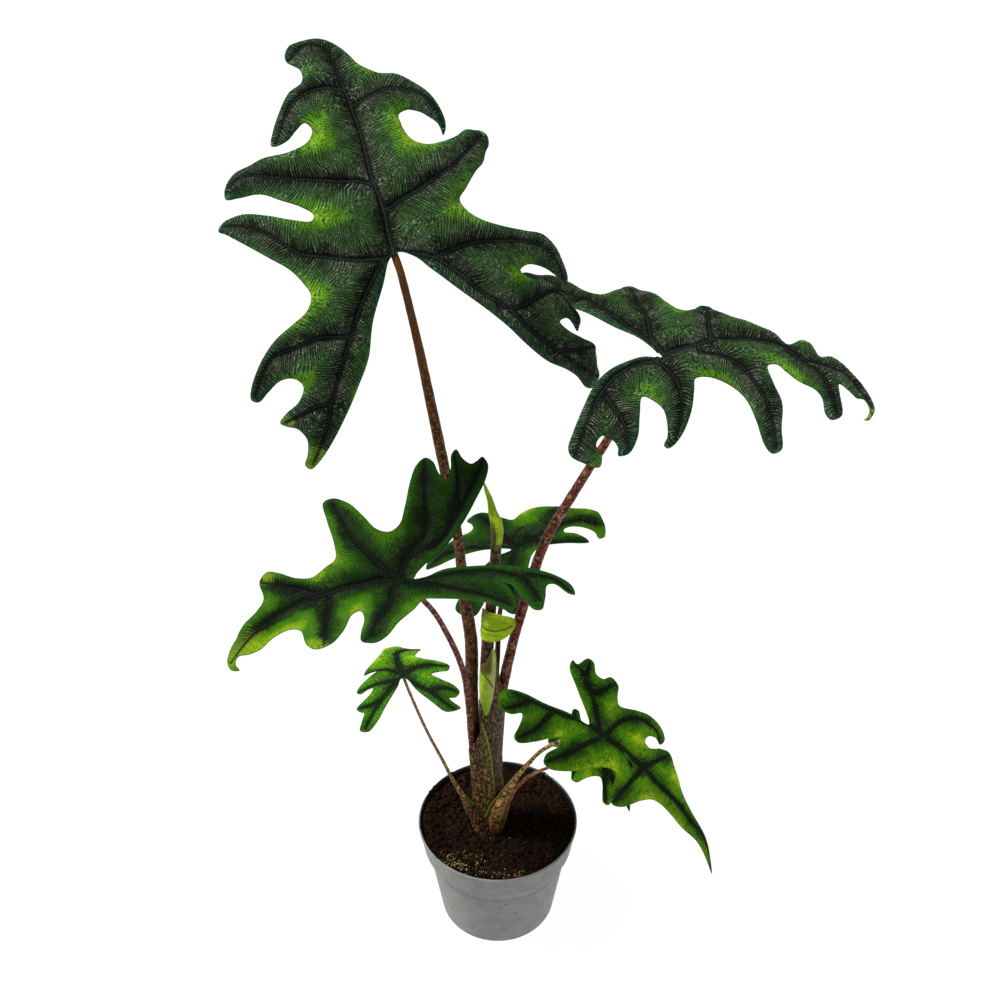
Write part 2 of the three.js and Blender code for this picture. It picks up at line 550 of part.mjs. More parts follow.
// The pale flap curls round the left of the new stalk and stands out to its right
const FLAP = {
  pose: {
    at: [-5.3, -7.85, 287], head: 0, rise: 0, roll: -88, spin: -4.2, arch: 0.01, back: 0.185,
    foldLeft: 0, foldRight: 0, droopLeft: 0, droopRight: 0,
  },
  outline: [
    [12, -7], [14, 0], [12, 9], [6, 15], [0, 17.5], [-6, 16], [-9, 8], [-11, 0], [-11.5, -7],
    [-6, -9.5], [4, -9.5],
  ],
};
place('flap', sheet(FLAP.pose, smoothEdge(FLAP.outline, 3), 4, -BLADE / 2, BLADE / 2), NEW_LEAF);

// The opened sheath is a half pipe up the front of the new stalk, pointed at its foot
const SHEATH = {
  pose: {
    at: [-8.2, -9.75, 206], head: 90, rise: 89, spin: -1.8, arch: 0, back: 0,
    foldLeft: 0, foldRight: 0, droopLeft: 0.17, droopRight: 0.17,
  },
  outline: [
    [0, 0], [3, 8], [5.5, 18], [7, 30], [7.5, 42], [6, 54], [3, 61], [1, 56], [-1, 50],
    [-5, 45], [-7, 36], [-6.5, 22], [-3.5, 9],
  ],
};
place('sheath', sheet(SHEATH.pose, smoothEdge(SHEATH.outline, 4), 4, -BLADE / 2, BLADE / 2), NEW_LEAF);

// The short stem: a round column of wrapped sheath bases in the planting hole. Upright stalks
// stand in sockets in its top, and the three outer ones lie in grooves in its side.
function stemBase() {
  const r = STEM.radius;
  const profile = [
    [0, STEM.foot], [r - 3, STEM.foot], [r, STEM.foot + 4], [r, SOIL_HEIGHT + 4],
    [r - 0.7, SOIL_HEIGHT + 12], [r - 0.7, STEM.top - 10], [r - 2, STEM.top - 3],
    [r - 5, STEM.top], [0, STEM.top],
  ];
  const column = lathe(profile, 28);
  column.translate(STEM.x, STEM.y, 0);
  let solid = toSolid(column);
  const stalks = [...Object.values(LEAVES).map((leaf) => leaf.stalk), NEW_STALK];
  for (const stalk of stalks) {
    const room = stalk.map(([x, y, z, diameter]) => [x, y, z, diameter + 2 * GAP + 0.2]);
    const foot = new THREE.Vector3(...stalk[0]);
    const down = foot.clone().sub(new THREE.Vector3(...stalk[1])).setLength(GAP);
    room[0] = [...foot.add(down), room[0][3]];
    solid = solid.subtract(toSolid(stalkTube(room, 8, 22)));
  }
  const parts = solid.decompose().sort((a, b) => b.volume() - a.volume());
  return toGeometry(parts[0]);
}

place('pot', pot(), MATTE_PLASTIC);
place('soil', soil(), PEAT);
place('stem_base', stemBase(), STEM_SKIN);

export default group;
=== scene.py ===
# Potted Alocasia Tandurusa: the finished looks of a jungle aroid with deeply cut leaves on
# mottled stalks, in a nursery pot. Metres, +Z up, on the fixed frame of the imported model.
import math

import bmesh
import bpy
import numpy as np
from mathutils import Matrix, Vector, noise
from mathutils.geometry import delaunay_2d_cdt


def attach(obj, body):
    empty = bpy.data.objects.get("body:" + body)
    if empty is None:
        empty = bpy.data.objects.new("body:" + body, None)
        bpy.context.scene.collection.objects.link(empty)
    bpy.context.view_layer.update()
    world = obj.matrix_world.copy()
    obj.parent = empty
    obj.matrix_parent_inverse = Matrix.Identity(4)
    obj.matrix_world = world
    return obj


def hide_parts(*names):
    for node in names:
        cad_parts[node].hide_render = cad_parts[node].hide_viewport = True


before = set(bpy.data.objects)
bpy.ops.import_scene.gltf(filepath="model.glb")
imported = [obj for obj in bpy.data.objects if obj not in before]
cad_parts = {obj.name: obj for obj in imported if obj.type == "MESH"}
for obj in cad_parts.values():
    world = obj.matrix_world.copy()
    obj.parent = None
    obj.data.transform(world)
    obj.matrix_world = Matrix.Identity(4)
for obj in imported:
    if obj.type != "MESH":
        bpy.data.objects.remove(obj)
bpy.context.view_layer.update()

# Camera: a 50 mm lens at a standing grower's eye, a long arm's reach from the plant, that
# looks down on it at 35 degrees.


def new_object(name, data):
    """An object of the scene that holds the given data."""
    obj = bpy.data.objects.new(name, data)
    bpy.context.collection.objects.link(obj)
    return obj


camera_data = bpy.data.cameras.new("camera")
camera_data.lens = 50
camera_data.sensor_width = 36
camera = new_object("camera", camera_data)
camera.location = (0.0017, -0.726, 0.890)
camera.rotation_euler = (math.radians(90 - 34.85), 0, 0)
scene = bpy.context.scene
scene.camera = camera

# Studio: a pale surround, one strong lamp high on the left and a weak one low on the right,
# over a floor that is a light table, so that it shows no edge and hardly a shadow.
scene.view_settings.view_transform = "Standard"
world = bpy.data.worlds.new("surround")
scene.world = world
world.use_nodes = True
background = world.node_tree.nodes["Background"]
background.inputs["Color"].default_value = (1, 1, 1, 1)
background.inputs["Strength"].default_value = 0.28


def lamp(name, place, strength, spread):
    """A far lamp that shines from a place towards the plant, with its light spread over an angle."""
    data = bpy.data.lights.new(name, "SUN")
    data.energy = strength
    data.angle = math.radians(spread)
    obj = new_object(name, data)
    obj.location = place
    obj.rotation_euler = Vector(place).to_track_quat("Z", "Y").to_euler()


lamp("key", (-1.0, 0.0, 1.6), 5.0, 14)
lamp("fill", (1.4, -1.3, 0.6), 0.6, 60)


def linear(hex_colour):
    """An sRGB hex colour as linear red, green, blue and alpha."""
    values = [int(hex_colour[i:i + 2], 16) / 255 for i in (1, 3, 5)]
    return tuple(v / 12.92 if v <= 0.04045 else ((v + 0.055) / 1.055) ** 2.4 for v in values) + (1,)


def new_finish(name, roughness, specular):
    """A material, its node tree and its shader, with the values that are the same all over."""
    material = bpy.data.materials.new(name)
    material.use_nodes = True
    shader = material.node_tree.nodes["Principled BSDF"]
    shader.inputs["Roughness"].default_value = roughness
    shader.inputs["IOR"].default_value = 1.45
    shader.inputs["Specular IOR Level"].default_value = specular
    return material, material.node_tree, shader


FLOOR_REACH = 6
# Opal glass lit from below glows evenly, so it stays white where shadows fall on it
floor_glass, _, floor_shader = new_finish("lit white glass", 0.9, 0.1)
floor_shader.inputs["Base Color"].default_value = linear("#4a4a4a")
floor_shader.inputs["Emission Color"].default_value = linear("#ffffff")
floor_shader.inputs["Emission Strength"].default_value = 0.97
floor_mesh = bpy.data.meshes.new("floor")
floor_corners = [(x * FLOOR_REACH, y * FLOOR_REACH, 0) for x, y in ((-1, -1), (1, -1), (1, 1), (-1, 1))]
floor_mesh.from_pydata(floor_corners, [], [(0, 1, 2, 3)])
floor_mesh.materials.append(floor_glass)
floor = new_object("floor", floor_mesh)

# Nursery pot: thin polypropylene, moulded in one shot with a light grey outside and a black
# inside, a band at the rim that lets pots stack, and drainage holes in its flat floor.
MM = 0.001
POT_HEIGHT = 91
RIM_RADIUS = 60
BAND_BOTTOM = 69
BAND_RADIUS = 56.5
BODY_TOP_RADIUS = 53.5
BASE_RADIUS = 43.3
WALL = 1.5
SEAM_HEIGHT = 58.5
DRAINS = 6
DRAIN_CIRCLE = 30
DRAIN_RADIUS = 2.8


def body_radius(z):
    """The outer radius of the cone below the band."""
    return BASE_RADIUS + (BODY_TOP_RADIUS - BASE_RADIUS) * z / BAND_BOTTOM


def band_radius(z):
    """The outer radius of the band."""
    return BAND_RADIUS + (RIM_RADIUS - 0.6 - BAND_RADIUS) * (z - BAND_BOTTOM) / (POT_HEIGHT - BAND_BOTTOM)


def inner_radius(z):
    """The radius of the wall's inside."""
    return (body_radius(z) if z < BAND_BOTTOM + 1 else band_radius(z)) - WALL


def add(tree, kind, inputs=None, out=0, **settings):
    """Adds a node with its settings, sets or links its inputs and returns one of its outputs."""
    node = tree.nodes.new(kind)
    for name, value in settings.items():
        setattr(node, name, value)
    for place, value in (inputs or {}).items():
        if isinstance(value, bpy.types.NodeSocket):
            tree.links.new(value, node.inputs[place])
        else:
            node.inputs[place].default_value = value
    return node.outputs[out]


def coat(tree, under, tone, value, start, full, most=1.0):
    """Lays a tone over a colour, from none where value is at start to its most at full."""
    share = add(tree, "ShaderNodeMapRange", {0: value, 1: start, 2: full, 3: 0.0, 4: most},
                interpolation_type="SMOOTHSTEP")
    return add(tree, "ShaderNodeMix", {0: share, 6: under, 7: linear(tone)}, out=2, data_type="RGBA")


def dress(tree, shader, colour, height, depth):
    """Gives the shader its colour and a relief that is depth mm deep."""
    tree.links.new(colour, shader.inputs["Base Color"])
    bump = add(tree, "ShaderNodeBump", {"Height": height, "Distance": depth * MM, "Strength": 1.0})
    tree.links.new(bump, shader.inputs["Normal"])


def store(mesh, name, values):
    """Gives each point of a mesh its own value or vector under a name."""
    values = np.asarray(values, np.float32)
    single = values.ndim == 1
    field = mesh.attributes.new(name, "FLOAT" if single else "FLOAT_VECTOR", "POINT").data
    field.foreach_set("value" if single else "vector", values.ravel())


def make_piece(name, points, faces, material, marks=None):
    """A smooth closed piece from points in mm, facing outwards, with values for its material."""
    points = np.asarray(points, float)
    mesh = bpy.data.meshes.new(name)
    mesh.from_pydata((points * MM).tolist(), [], faces)
    mesh.calc_loop_triangles()
    corners = np.empty(len(mesh.loop_triangles) * 3, int)
    mesh.loop_triangles.foreach_get("vertices", corners)
    a, b, c = points[corners.reshape(-1, 3)].transpose(1, 0, 2)
    if np.einsum("ij,ij->i", a, np.cross(b, c)).sum() < 0:
        mesh.flip_normals()
    mesh.materials.append(material)
    for key, values in (marks or {}).items():
        store(mesh, key, values)
    mesh.polygons.foreach_set("use_smooth", [True] * len(mesh.polygons))
    return new_object(name, mesh)


def declare(piece, slot, *nodes):
    """The piece rides on the plant and stands for its nodes; its slot is not used."""
    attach(piece, "root")
    if nodes:
        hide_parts(*nodes)


def ringed_faces(rings, sides):
    """Faces of a closed shape whose points are one end, some rings and the other end."""
    last = 1 + (rings - 1) * sides
    faces = []
    for k in range(sides):
        n = (k + 1) % sides
        faces += [(0, 1 + n, 1 + k), (last + k, last + n, last + sides)]
        faces += [(a + k, a + n, a + sides + n, a + sides + k) for a in range(1, last, sides)]
    return faces


POT_SIDES = 192
# The wall's profile, as radius and height, from the middle of the base's underside up the
# outside, over the lip and down the inside
POT_PROFILE = [
    (0, 0), (BASE_RADIUS - 6, 0), (BASE_RADIUS - 2.6, 0), (BASE_RADIUS - 1.2, 0.3),
    (BASE_RADIUS - 0.3, 1.1), (body_radius(2.6), 2.6), (body_radius(3.4), 3.4), (body_radius(30), 30),
    (body_radius(60), 60), (body_radius(67.2), 67.2), (body_radius(68) + 0.3, 68),
    (BAND_RADIUS - 1.2, BAND_BOTTOM - 0.6), (BAND_RADIUS - 0.3, BAND_BOTTOM - 0.2),
    (BAND_RADIUS, BAND_BOTTOM + 0.5), (band_radius(70.5), 70.5), (band_radius(80), 80),
    (band_radius(87.6), 87.6), (band_radius(88.4) + 0.1, 88.4), (RIM_RADIUS - 0.1, 89),
    (RIM_RADIUS, 89.8), (RIM_RADIUS - 0.1, 90.5), (RIM_RADIUS - 0.6, 90.95), (RIM_RADIUS - 1.3, 90.95),
    (RIM_RADIUS - 1.9, 90.5), (band_radius(89.4) - WALL, 89.4), (band_radius(80) - WALL, 80),
    (band_radius(72) - WALL, 72), (band_radius(70.6) - WALL, 70.6),
    (body_radius(69.2) - WALL + 0.4, 69.2), (body_radius(68) - WALL, 68), (body_radius(30) - WALL, 30),
    (body_radius(3) - WALL, 3), (body_radius(2) - WALL - 1, 1.6), (BASE_RADIUS - 8, WALL), (0, WALL)]
# The moulding is satin smooth with faint flow marks. Peat dust clings to it in specks.
pot_plastic, tree, shader = new_finish("moulded polypropylene", 0.5, 0.4)
where = add(tree, "ShaderNodeTexCoord", out=3)
cloud = add(tree, "ShaderNodeTexNoise", {"Vector": where, "Scale": 90.0, "Detail": 6.0, "Roughness": 0.7})
colour = coat(tree, linear("#6e6e6b"), "#7a7a77", cloud, 0.38, 0.62)
height = add(tree, "ShaderNodeSeparateXYZ", {0: where}, out=2)
seam = add(tree, "ShaderNodeMath", {0: height, 1: SEAM_HEIGHT * MM}, operation="SUBTRACT")
seam = add(tree, "ShaderNodeMath", {0: seam}, operation="ABSOLUTE")
colour = coat(tree, colour, "#333331", seam, 0.0014, 0.0003, 0.35)
dust = add(tree, "ShaderNodeTexVoronoi", {"Vector": where, "Scale": 120.0})
patch = add(tree, "ShaderNodeTexNoise", {"Vector": where, "Scale": 30.0, "Detail": 1.0})
dust = add(tree, "ShaderNodeMath", {0: patch, 1: -0.55, 2: dust}, operation="MULTIPLY_ADD")
colour = coat(tree, colour, "#2e2722", dust, -0.195, -0.25, 0.9)
inside = add(tree, "ShaderNodeAttribute", attribute_name="inside", out=2)
colour = coat(tree, colour, "#0d0d0d", inside, 0.3, 0.7)
grain = add(tree, "ShaderNodeTexNoise", {"Vector": where, "Scale": 700.0, "Detail": 2.0})
dress(tree, shader, colour, grain, 0.06)

turns = np.arange(POT_SIDES) * math.tau / POT_SIDES
pot_points = [(0, 0, POT_PROFILE[0][1])]
for radius, z in POT_PROFILE[1:-1]:
    pot_points += [(radius * math.cos(turn), radius * math.sin(turn), z) for turn in turns]
pot_points.append((0, 0, POT_PROFILE[-1][1]))
pot = make_piece("pot_shell", pot_points, ringed_faces(len(POT_PROFILE) - 2, POT_SIDES), pot_plastic)
drill = bmesh.new()
for i in range(DRAINS):
    angle = math.tau * (i + 0.5) / DRAINS
    bit = bmesh.ops.create_cone(drill, cap_ends=True, segments=24, radius1=DRAIN_RADIUS * MM,
                                radius2=DRAIN_RADIUS * MM, depth=8 * MM)
    shift = Vector((math.cos(angle), math.sin(angle), 0)) * DRAIN_CIRCLE * MM
    bmesh.ops.translate(drill, verts=bit["verts"], vec=shift)
drill_mesh = bpy.data.meshes.new("drill")
drill.to_mesh(drill_mesh)
drill.free()
drill_bits = new_object("drill", drill_mesh)
cut = pot.modifiers.new("drains", "BOOLEAN")
cut.operation = "DIFFERENCE"
cut.solver = "EXACT"
cut.object = drill_bits


def settle(piece):
    """Turns what a piece's modifiers make of it into its own plain mesh."""
    bpy.context.view_layer.update()
    made = bpy.data.meshes.new_from_object(piece.evaluated_get(bpy.context.evaluated_depsgraph_get()))
    piece.modifiers.clear()
    piece.data = made
    return made


def is_inside(point):
    """Whether a point of the wall is on its black inner face, or on the inner half of the lip."""
    radius, z = math.hypot(point.x, point.y) / MM, point.z / MM
    outer = body_radius(z) if z < BAND_BOTTOM - 0.4 else band_radius(z)
    return (radius < outer - WALL / 2 and z > 0.7) or (z > 90.4 and radius < RIM_RADIUS - 0.9)


pot_mesh = settle(pot)
bpy.data.objects.remove(drill_bits)
store(pot_mesh, "inside", [is_inside(vertex.co) for vertex in pot_mesh.vertices])
pot_mesh.set_sharp_from_angle(angle=math.radians(40))
declare(pot, "pot", "pot")

# Peat: moist, dark and crumbly, pressed into the pot by hand with a planting hole for the
# stem, and banked up against the wall. Crumbs, fibres and pale grains lie loose on top.
SOIL_HEIGHT = 84
STEM_X = -7
STEM_Y = 2
HOLE_RADIUS = 13.8
HOLE_FLOOR = 61.7
SOIL_FLOOR = 1.8
SOIL_LEVELS = (80.5, 72, 69, 40, 2.4)
TOP_GAP = 0.3
SIDE_GAP = 0.4
BANK_START = 40
BANK_FULL = 57
BANK_RISE = 3.4
BANK_TILT = 1.9
BANK_TURN = 2.2


def fade(value, low, high):
    """0 below low, 1 above high and smooth between them."""
    share = np.clip((value - low) / (high - low), 0, 1)
    return share * share * (3 - 2 * share)


def soil_top(x, y):
    """The height of the peat, which is banked up most against the wall in front on the left."""
    swell = 0.7 * math.sin(x / 9 + 1.2) * math.cos(y / 11) + 0.5 * math.sin((x + y) / 6)
    bank = BANK_RISE + BANK_TILT * math.cos(math.atan2(y, x) + BANK_TURN)
    bank *= float(fade(math.hypot(x, y), BANK_START, BANK_FULL))
    place = Vector((x, y, 0))
    clods = noise.fractal(place * 0.14, 0.9, 2.0, 4) * 1.7
    crumbs = abs(noise.noise(place * 0.5)) * 2.6 - 0.4
    return SOIL_HEIGHT + swell + bank + clods + crumbs


def hole_to_wall(radius, dx, dy):
    """How far from the hole's middle a circle about the pot's axis lies in a direction."""
    along = STEM_X * dx + STEM_Y * dy
    return -along + math.sqrt(along * along + radius * radius - STEM_X ** 2 - STEM_Y ** 2)


def soil_shell(turns, rings):
    """The peat's closed skin, laid out round the planting hole, and for each point whether it is
    on top and how far inside the wall it lies."""
    points, top, inland = [(STEM_X, STEM_Y, HOLE_FLOOR)], [0.0], [0.0]
    for k in range(turns):
        angle = math.tau * k / turns
        dx, dy = math.cos(angle), math.sin(angle)
        edge = hole_to_wall(inner_radius(SOIL_HEIGHT) - TOP_GAP, dx, dy)
        column = [(HOLE_RADIUS, HOLE_FLOOR)]
        column += [(HOLE_RADIUS + (edge - HOLE_RADIUS) * i / rings, None) for i in range(rings + 1)]
        column += [(hole_to_wall(inner_radius(z) - SIDE_GAP, dx, dy), z) for z in SOIL_LEVELS]
        column.append((hole_to_wall(inner_radius(2) - 2.5, dx, dy), SOIL_FLOOR))
        for radius, z in column:
            x, y = STEM_X + radius * dx, STEM_Y + radius * dy
            points.append((x, y, soil_top(x, y) if z is None else z))
            top.append(1.0 if z is None else 0.0)
            inland.append(edge - radius)
    points.append((STEM_X, STEM_Y, SOIL_FLOOR))
    top.append(0.0)
    inland.append(0.0)
    size = len(column)
    faces = []
    for k in range(turns):
        a = 1 + k * size
        b = 1 + (k + 1) % turns * size
        faces += [(0, a, b), (a + size - 1, len(points) - 1, b + size - 1)]
        faces += [(a + i, a + i + 1, b + i + 1, b + i) for i in range(size - 1)]
    return np.array(points), faces, np.array(top), np.array(inland)


# Wet peat is nearly black, with red-brown moss where it dries.
peat, tree, shader = new_finish("moist peat", 0.95, 0.05)
where = add(tree, "ShaderNodeTexCoord", out=3)
lump = add(tree, "ShaderNodeTexNoise", {"Vector": where, "Scale": 300.0, "Detail": 6.0, "Roughness": 0.7})
colour = coat(tree, linear("#0b0704"), "#21150c", lump, 0.4, 0.7)
dry = add(tree, "ShaderNodeTexNoise", {"Vector": where, "Scale": 55.0, "Detail": 3.0})
colour = coat(tree, colour, "#361d10", dry, 0.52, 0.72, 0.7)
dress(tree, shader, colour, lump, 1.2)
soil_points, soil_faces, top, inland = soil_shell(300, 40)
patch_reach = np.hypot((soil_points[:, 0] + 24) / 19, (soil_points[:, 1] + 38) / 13)
strip_reach = np.hypot((soil_points[:, 0] - 2) / 22, (soil_points[:, 1] + 50) / 6)
patch = np.maximum(1 - fade(patch_reach, 0.4, 1.2), 0.5 * (1 - fade(strip_reach, 0.5, 1.2)))
soil_marks = {"loose": top * fade(inland, 0.1, 1.8), "open": top * fade(inland, 3, 4), "patch": top * patch}
soil = make_piece("peat_bed", soil_points, soil_faces, peat, soil_marks)
declare(soil, "soil", "soil")


def new_tree(name, source, settings, result):
    """A geometry tree that makes a result of a source. It comes with the identifiers of its
    settings' sockets and with its own inputs."""
    tree = bpy.data.node_groups.new(name, "GeometryNodeTree")
    tree.interface.new_socket(source, in_out="INPUT", socket_type="NodeSocketGeometry")
    sockets = {}
    for label, kind in settings.items():
        socket = tree.interface.new_socket(label, in_out="INPUT", socket_type="NodeSocket" + kind)
        sockets[label] = socket.identifier
    tree.interface.new_socket(result, in_out="OUTPUT", socket_type="NodeSocketGeometry")
    return tree, sockets, tree.nodes.new("NodeGroupInput").outputs


def run_tree(name, mesh, tree, sockets, values):
    """The piece that a geometry tree makes of a mesh, with values for its settings."""
    obj = new_object(name, mesh)
    modifier = obj.modifiers.new(tree.name, "NODES")
    modifier.node_group = tree
    for label, value in values.items():
        modifier[sockets[label]] = value
    settle(obj)
    return obj


# One tree strews bits over the bed: it sets points on the bed where the named mark is high,
# puts a small lump on each, turned and sized at random, and roughens them.
strew, strew_sockets, given = new_tree("strewn bits", "Bed", {
    "Mark": "String", "Bits per square metre": "Float", "Smallest": "Float", "Largest": "Float",
    "Shape": "Vector", "Seed": "Int", "Finish": "Material"}, "Bits")
density = add(strew, "GeometryNodeInputNamedAttribute", {"Name": given["Mark"]}, data_type="FLOAT")
density = add(strew, "ShaderNodeMath", {0: density, 1: given["Bits per square metre"]},
              operation="MULTIPLY")
points = add(strew, "GeometryNodeDistributePointsOnFaces",
             {"Mesh": given["Bed"], "Density": density, "Seed": given["Seed"]}, distribute_method="RANDOM")
lump = add(strew, "GeometryNodeMeshIcoSphere", {"Radius": 1.0, "Subdivisions": 2})
turn = add(strew, "FunctionNodeRandomValue", {1: (math.tau,) * 3, "Seed": given["Seed"]},
           data_type="FLOAT_VECTOR")
size = add(strew, "FunctionNodeRandomValue",
           {2: given["Smallest"], 3: given["Largest"], "Seed": given["Seed"]}, out=1, data_type="FLOAT")
scale = add(strew, "ShaderNodeVectorMath", {0: given["Shape"], "Scale": size}, operation="SCALE")
bits = add(strew, "GeometryNodeInstanceOnPoints",
           {"Points": points, "Instance": lump, "Rotation": turn, "Scale": scale})
bits = add(strew, "GeometryNodeRealizeInstances", {0: bits})
rough = add(strew, "ShaderNodeTexNoise", {"Scale": 900.0, "Detail": 1.0}, out=1)
rough = add(strew, "ShaderNodeVectorMath", {0: rough, 1: (0.5, 0.5, 0.5)}, operation="SUBTRACT")
rough = add(strew, "ShaderNodeVectorMath", {0: rough, "Scale": given["Largest"]}, operation="SCALE")
bits = add(strew, "GeometryNodeSetPosition", {"Geometry": bits, "Offset": rough})
bits = add(strew, "GeometryNodeSetMaterial", {"Geometry": bits, "Material": given["Finish"]})
strew.links.new(bits, strew.nodes.new("NodeGroupOutput").inputs[0])


def strewn(name, bed, mark, per_square_metre, smallest, largest, shape, seed, low_tone, high_tone):
    """Loose bits on a bed, sizes in mm, whose tone varies from bit to bit."""
    material, tree, shader = new_finish(name.replace("_", " "), 0.9, 0.06)
    where = add(tree, "ShaderNodeTexCoord", out=3)
    tint = add(tree, "ShaderNodeTexNoise",
               {"Vector": where, "Scale": 240.0, "Detail": 4.0, "Roughness": 0.7})
    rough = add(tree, "ShaderNodeTexNoise", {"Vector": where, "Scale": 1500.0, "Detail": 3.0})
    dress(tree, shader, coat(tree, linear(low_tone), high_tone, tint, 0.36, 0.68), rough, 0.3)
    values = {"Mark": mark, "Bits per square metre": float(per_square_metre), "Smallest": smallest * MM,
              "Largest": largest * MM, "Shape": shape, "Seed": seed, "Finish": material}
    declare(run_tree(name, bed.copy(), strew, strew_sockets, values), "soil")


def spots_bed(spots):
    """Small level squares to strew bits on, each given by x, y, z and half its width in mm."""
    corners = [(x + i * half, y + j * half, z) for x, y, z, half in spots
               for i, j in ((-1, -1), (1, -1), (1, 1), (-1, 1))]
    squares = [tuple(range(k, k + 4)) for k in range(0, len(corners), 4)]
    mesh = bpy.data.meshes.new("spots")
    mesh.from_pydata((np.array(corners) * MM).tolist(), [], squares)
    store(mesh, "loose", np.ones(len(corners)))
    return mesh


bed = soil.data
strewn("peat_crumbs", bed, "loose", 160000, 0.4, 1.7, (1.0, 0.8, 0.7), 3, "#0c0805", "#2e1c10")
strewn("peat_clods", bed, "open", 24000, 1.4, 3.0, (1.0, 0.9, 0.6), 7, "#0a0603", "#28160a")
strewn("moss_fibres", bed, "open", 9000, 0.8, 3.2, (1.0, 0.12, 0.12), 11, "#24110a", "#5e2f16")
strewn("perlite_grains", bed, "open", 1300, 0.3, 0.6, (1.0, 0.9, 0.8), 23, "#8f8672", "#e2dccf")
strewn("pale_grit", bed, "patch", 620000, 0.2, 0.6, (1.0, 0.8, 0.7), 31, "#3f3d14", "#c2ba7c")
# Some bits were spilt on the lip and beside it when the pot was filled
LIP_HEIGHT = 90.6
crumb_spots = spots_bed([
    (-42.2, 39.4, LIP_HEIGHT, 1.3), (-48.6, 31.0, LIP_HEIGHT, 1.2), (-57.4, -9, LIP_HEIGHT, 1.0),
    (-51, 26, LIP_HEIGHT, 1.2), (-35.5, 45.4, LIP_HEIGHT, 1.3), (35.5, 45.4, LIP_HEIGHT, 1.4)])
fibre_spots = spots_bed([(38.4, 43.6, LIP_HEIGHT, 1.7), (42.2, 40, LIP_HEIGHT, 1.5)])
chip_spots = spots_bed([(13.5, -53.5, LIP_HEIGHT - 1, 1.6)])
strewn("rim_crumbs", crumb_spots, "loose", 700000, 0.4, 1.4, (1.0, 0.8, 0.7), 5, "#0c0805", "#2e1c10")
strewn("rim_fibres", fibre_spots, "loose", 600000, 0.9, 2.2, (1.0, 0.14, 0.14), 9, "#24110a", "#4e2a18")
strewn("bark_chips", chip_spots, "loose", 600000, 0.4, 1.3, (1.0, 0.7, 0.4), 13, "#5a3218", "#b07a3c")

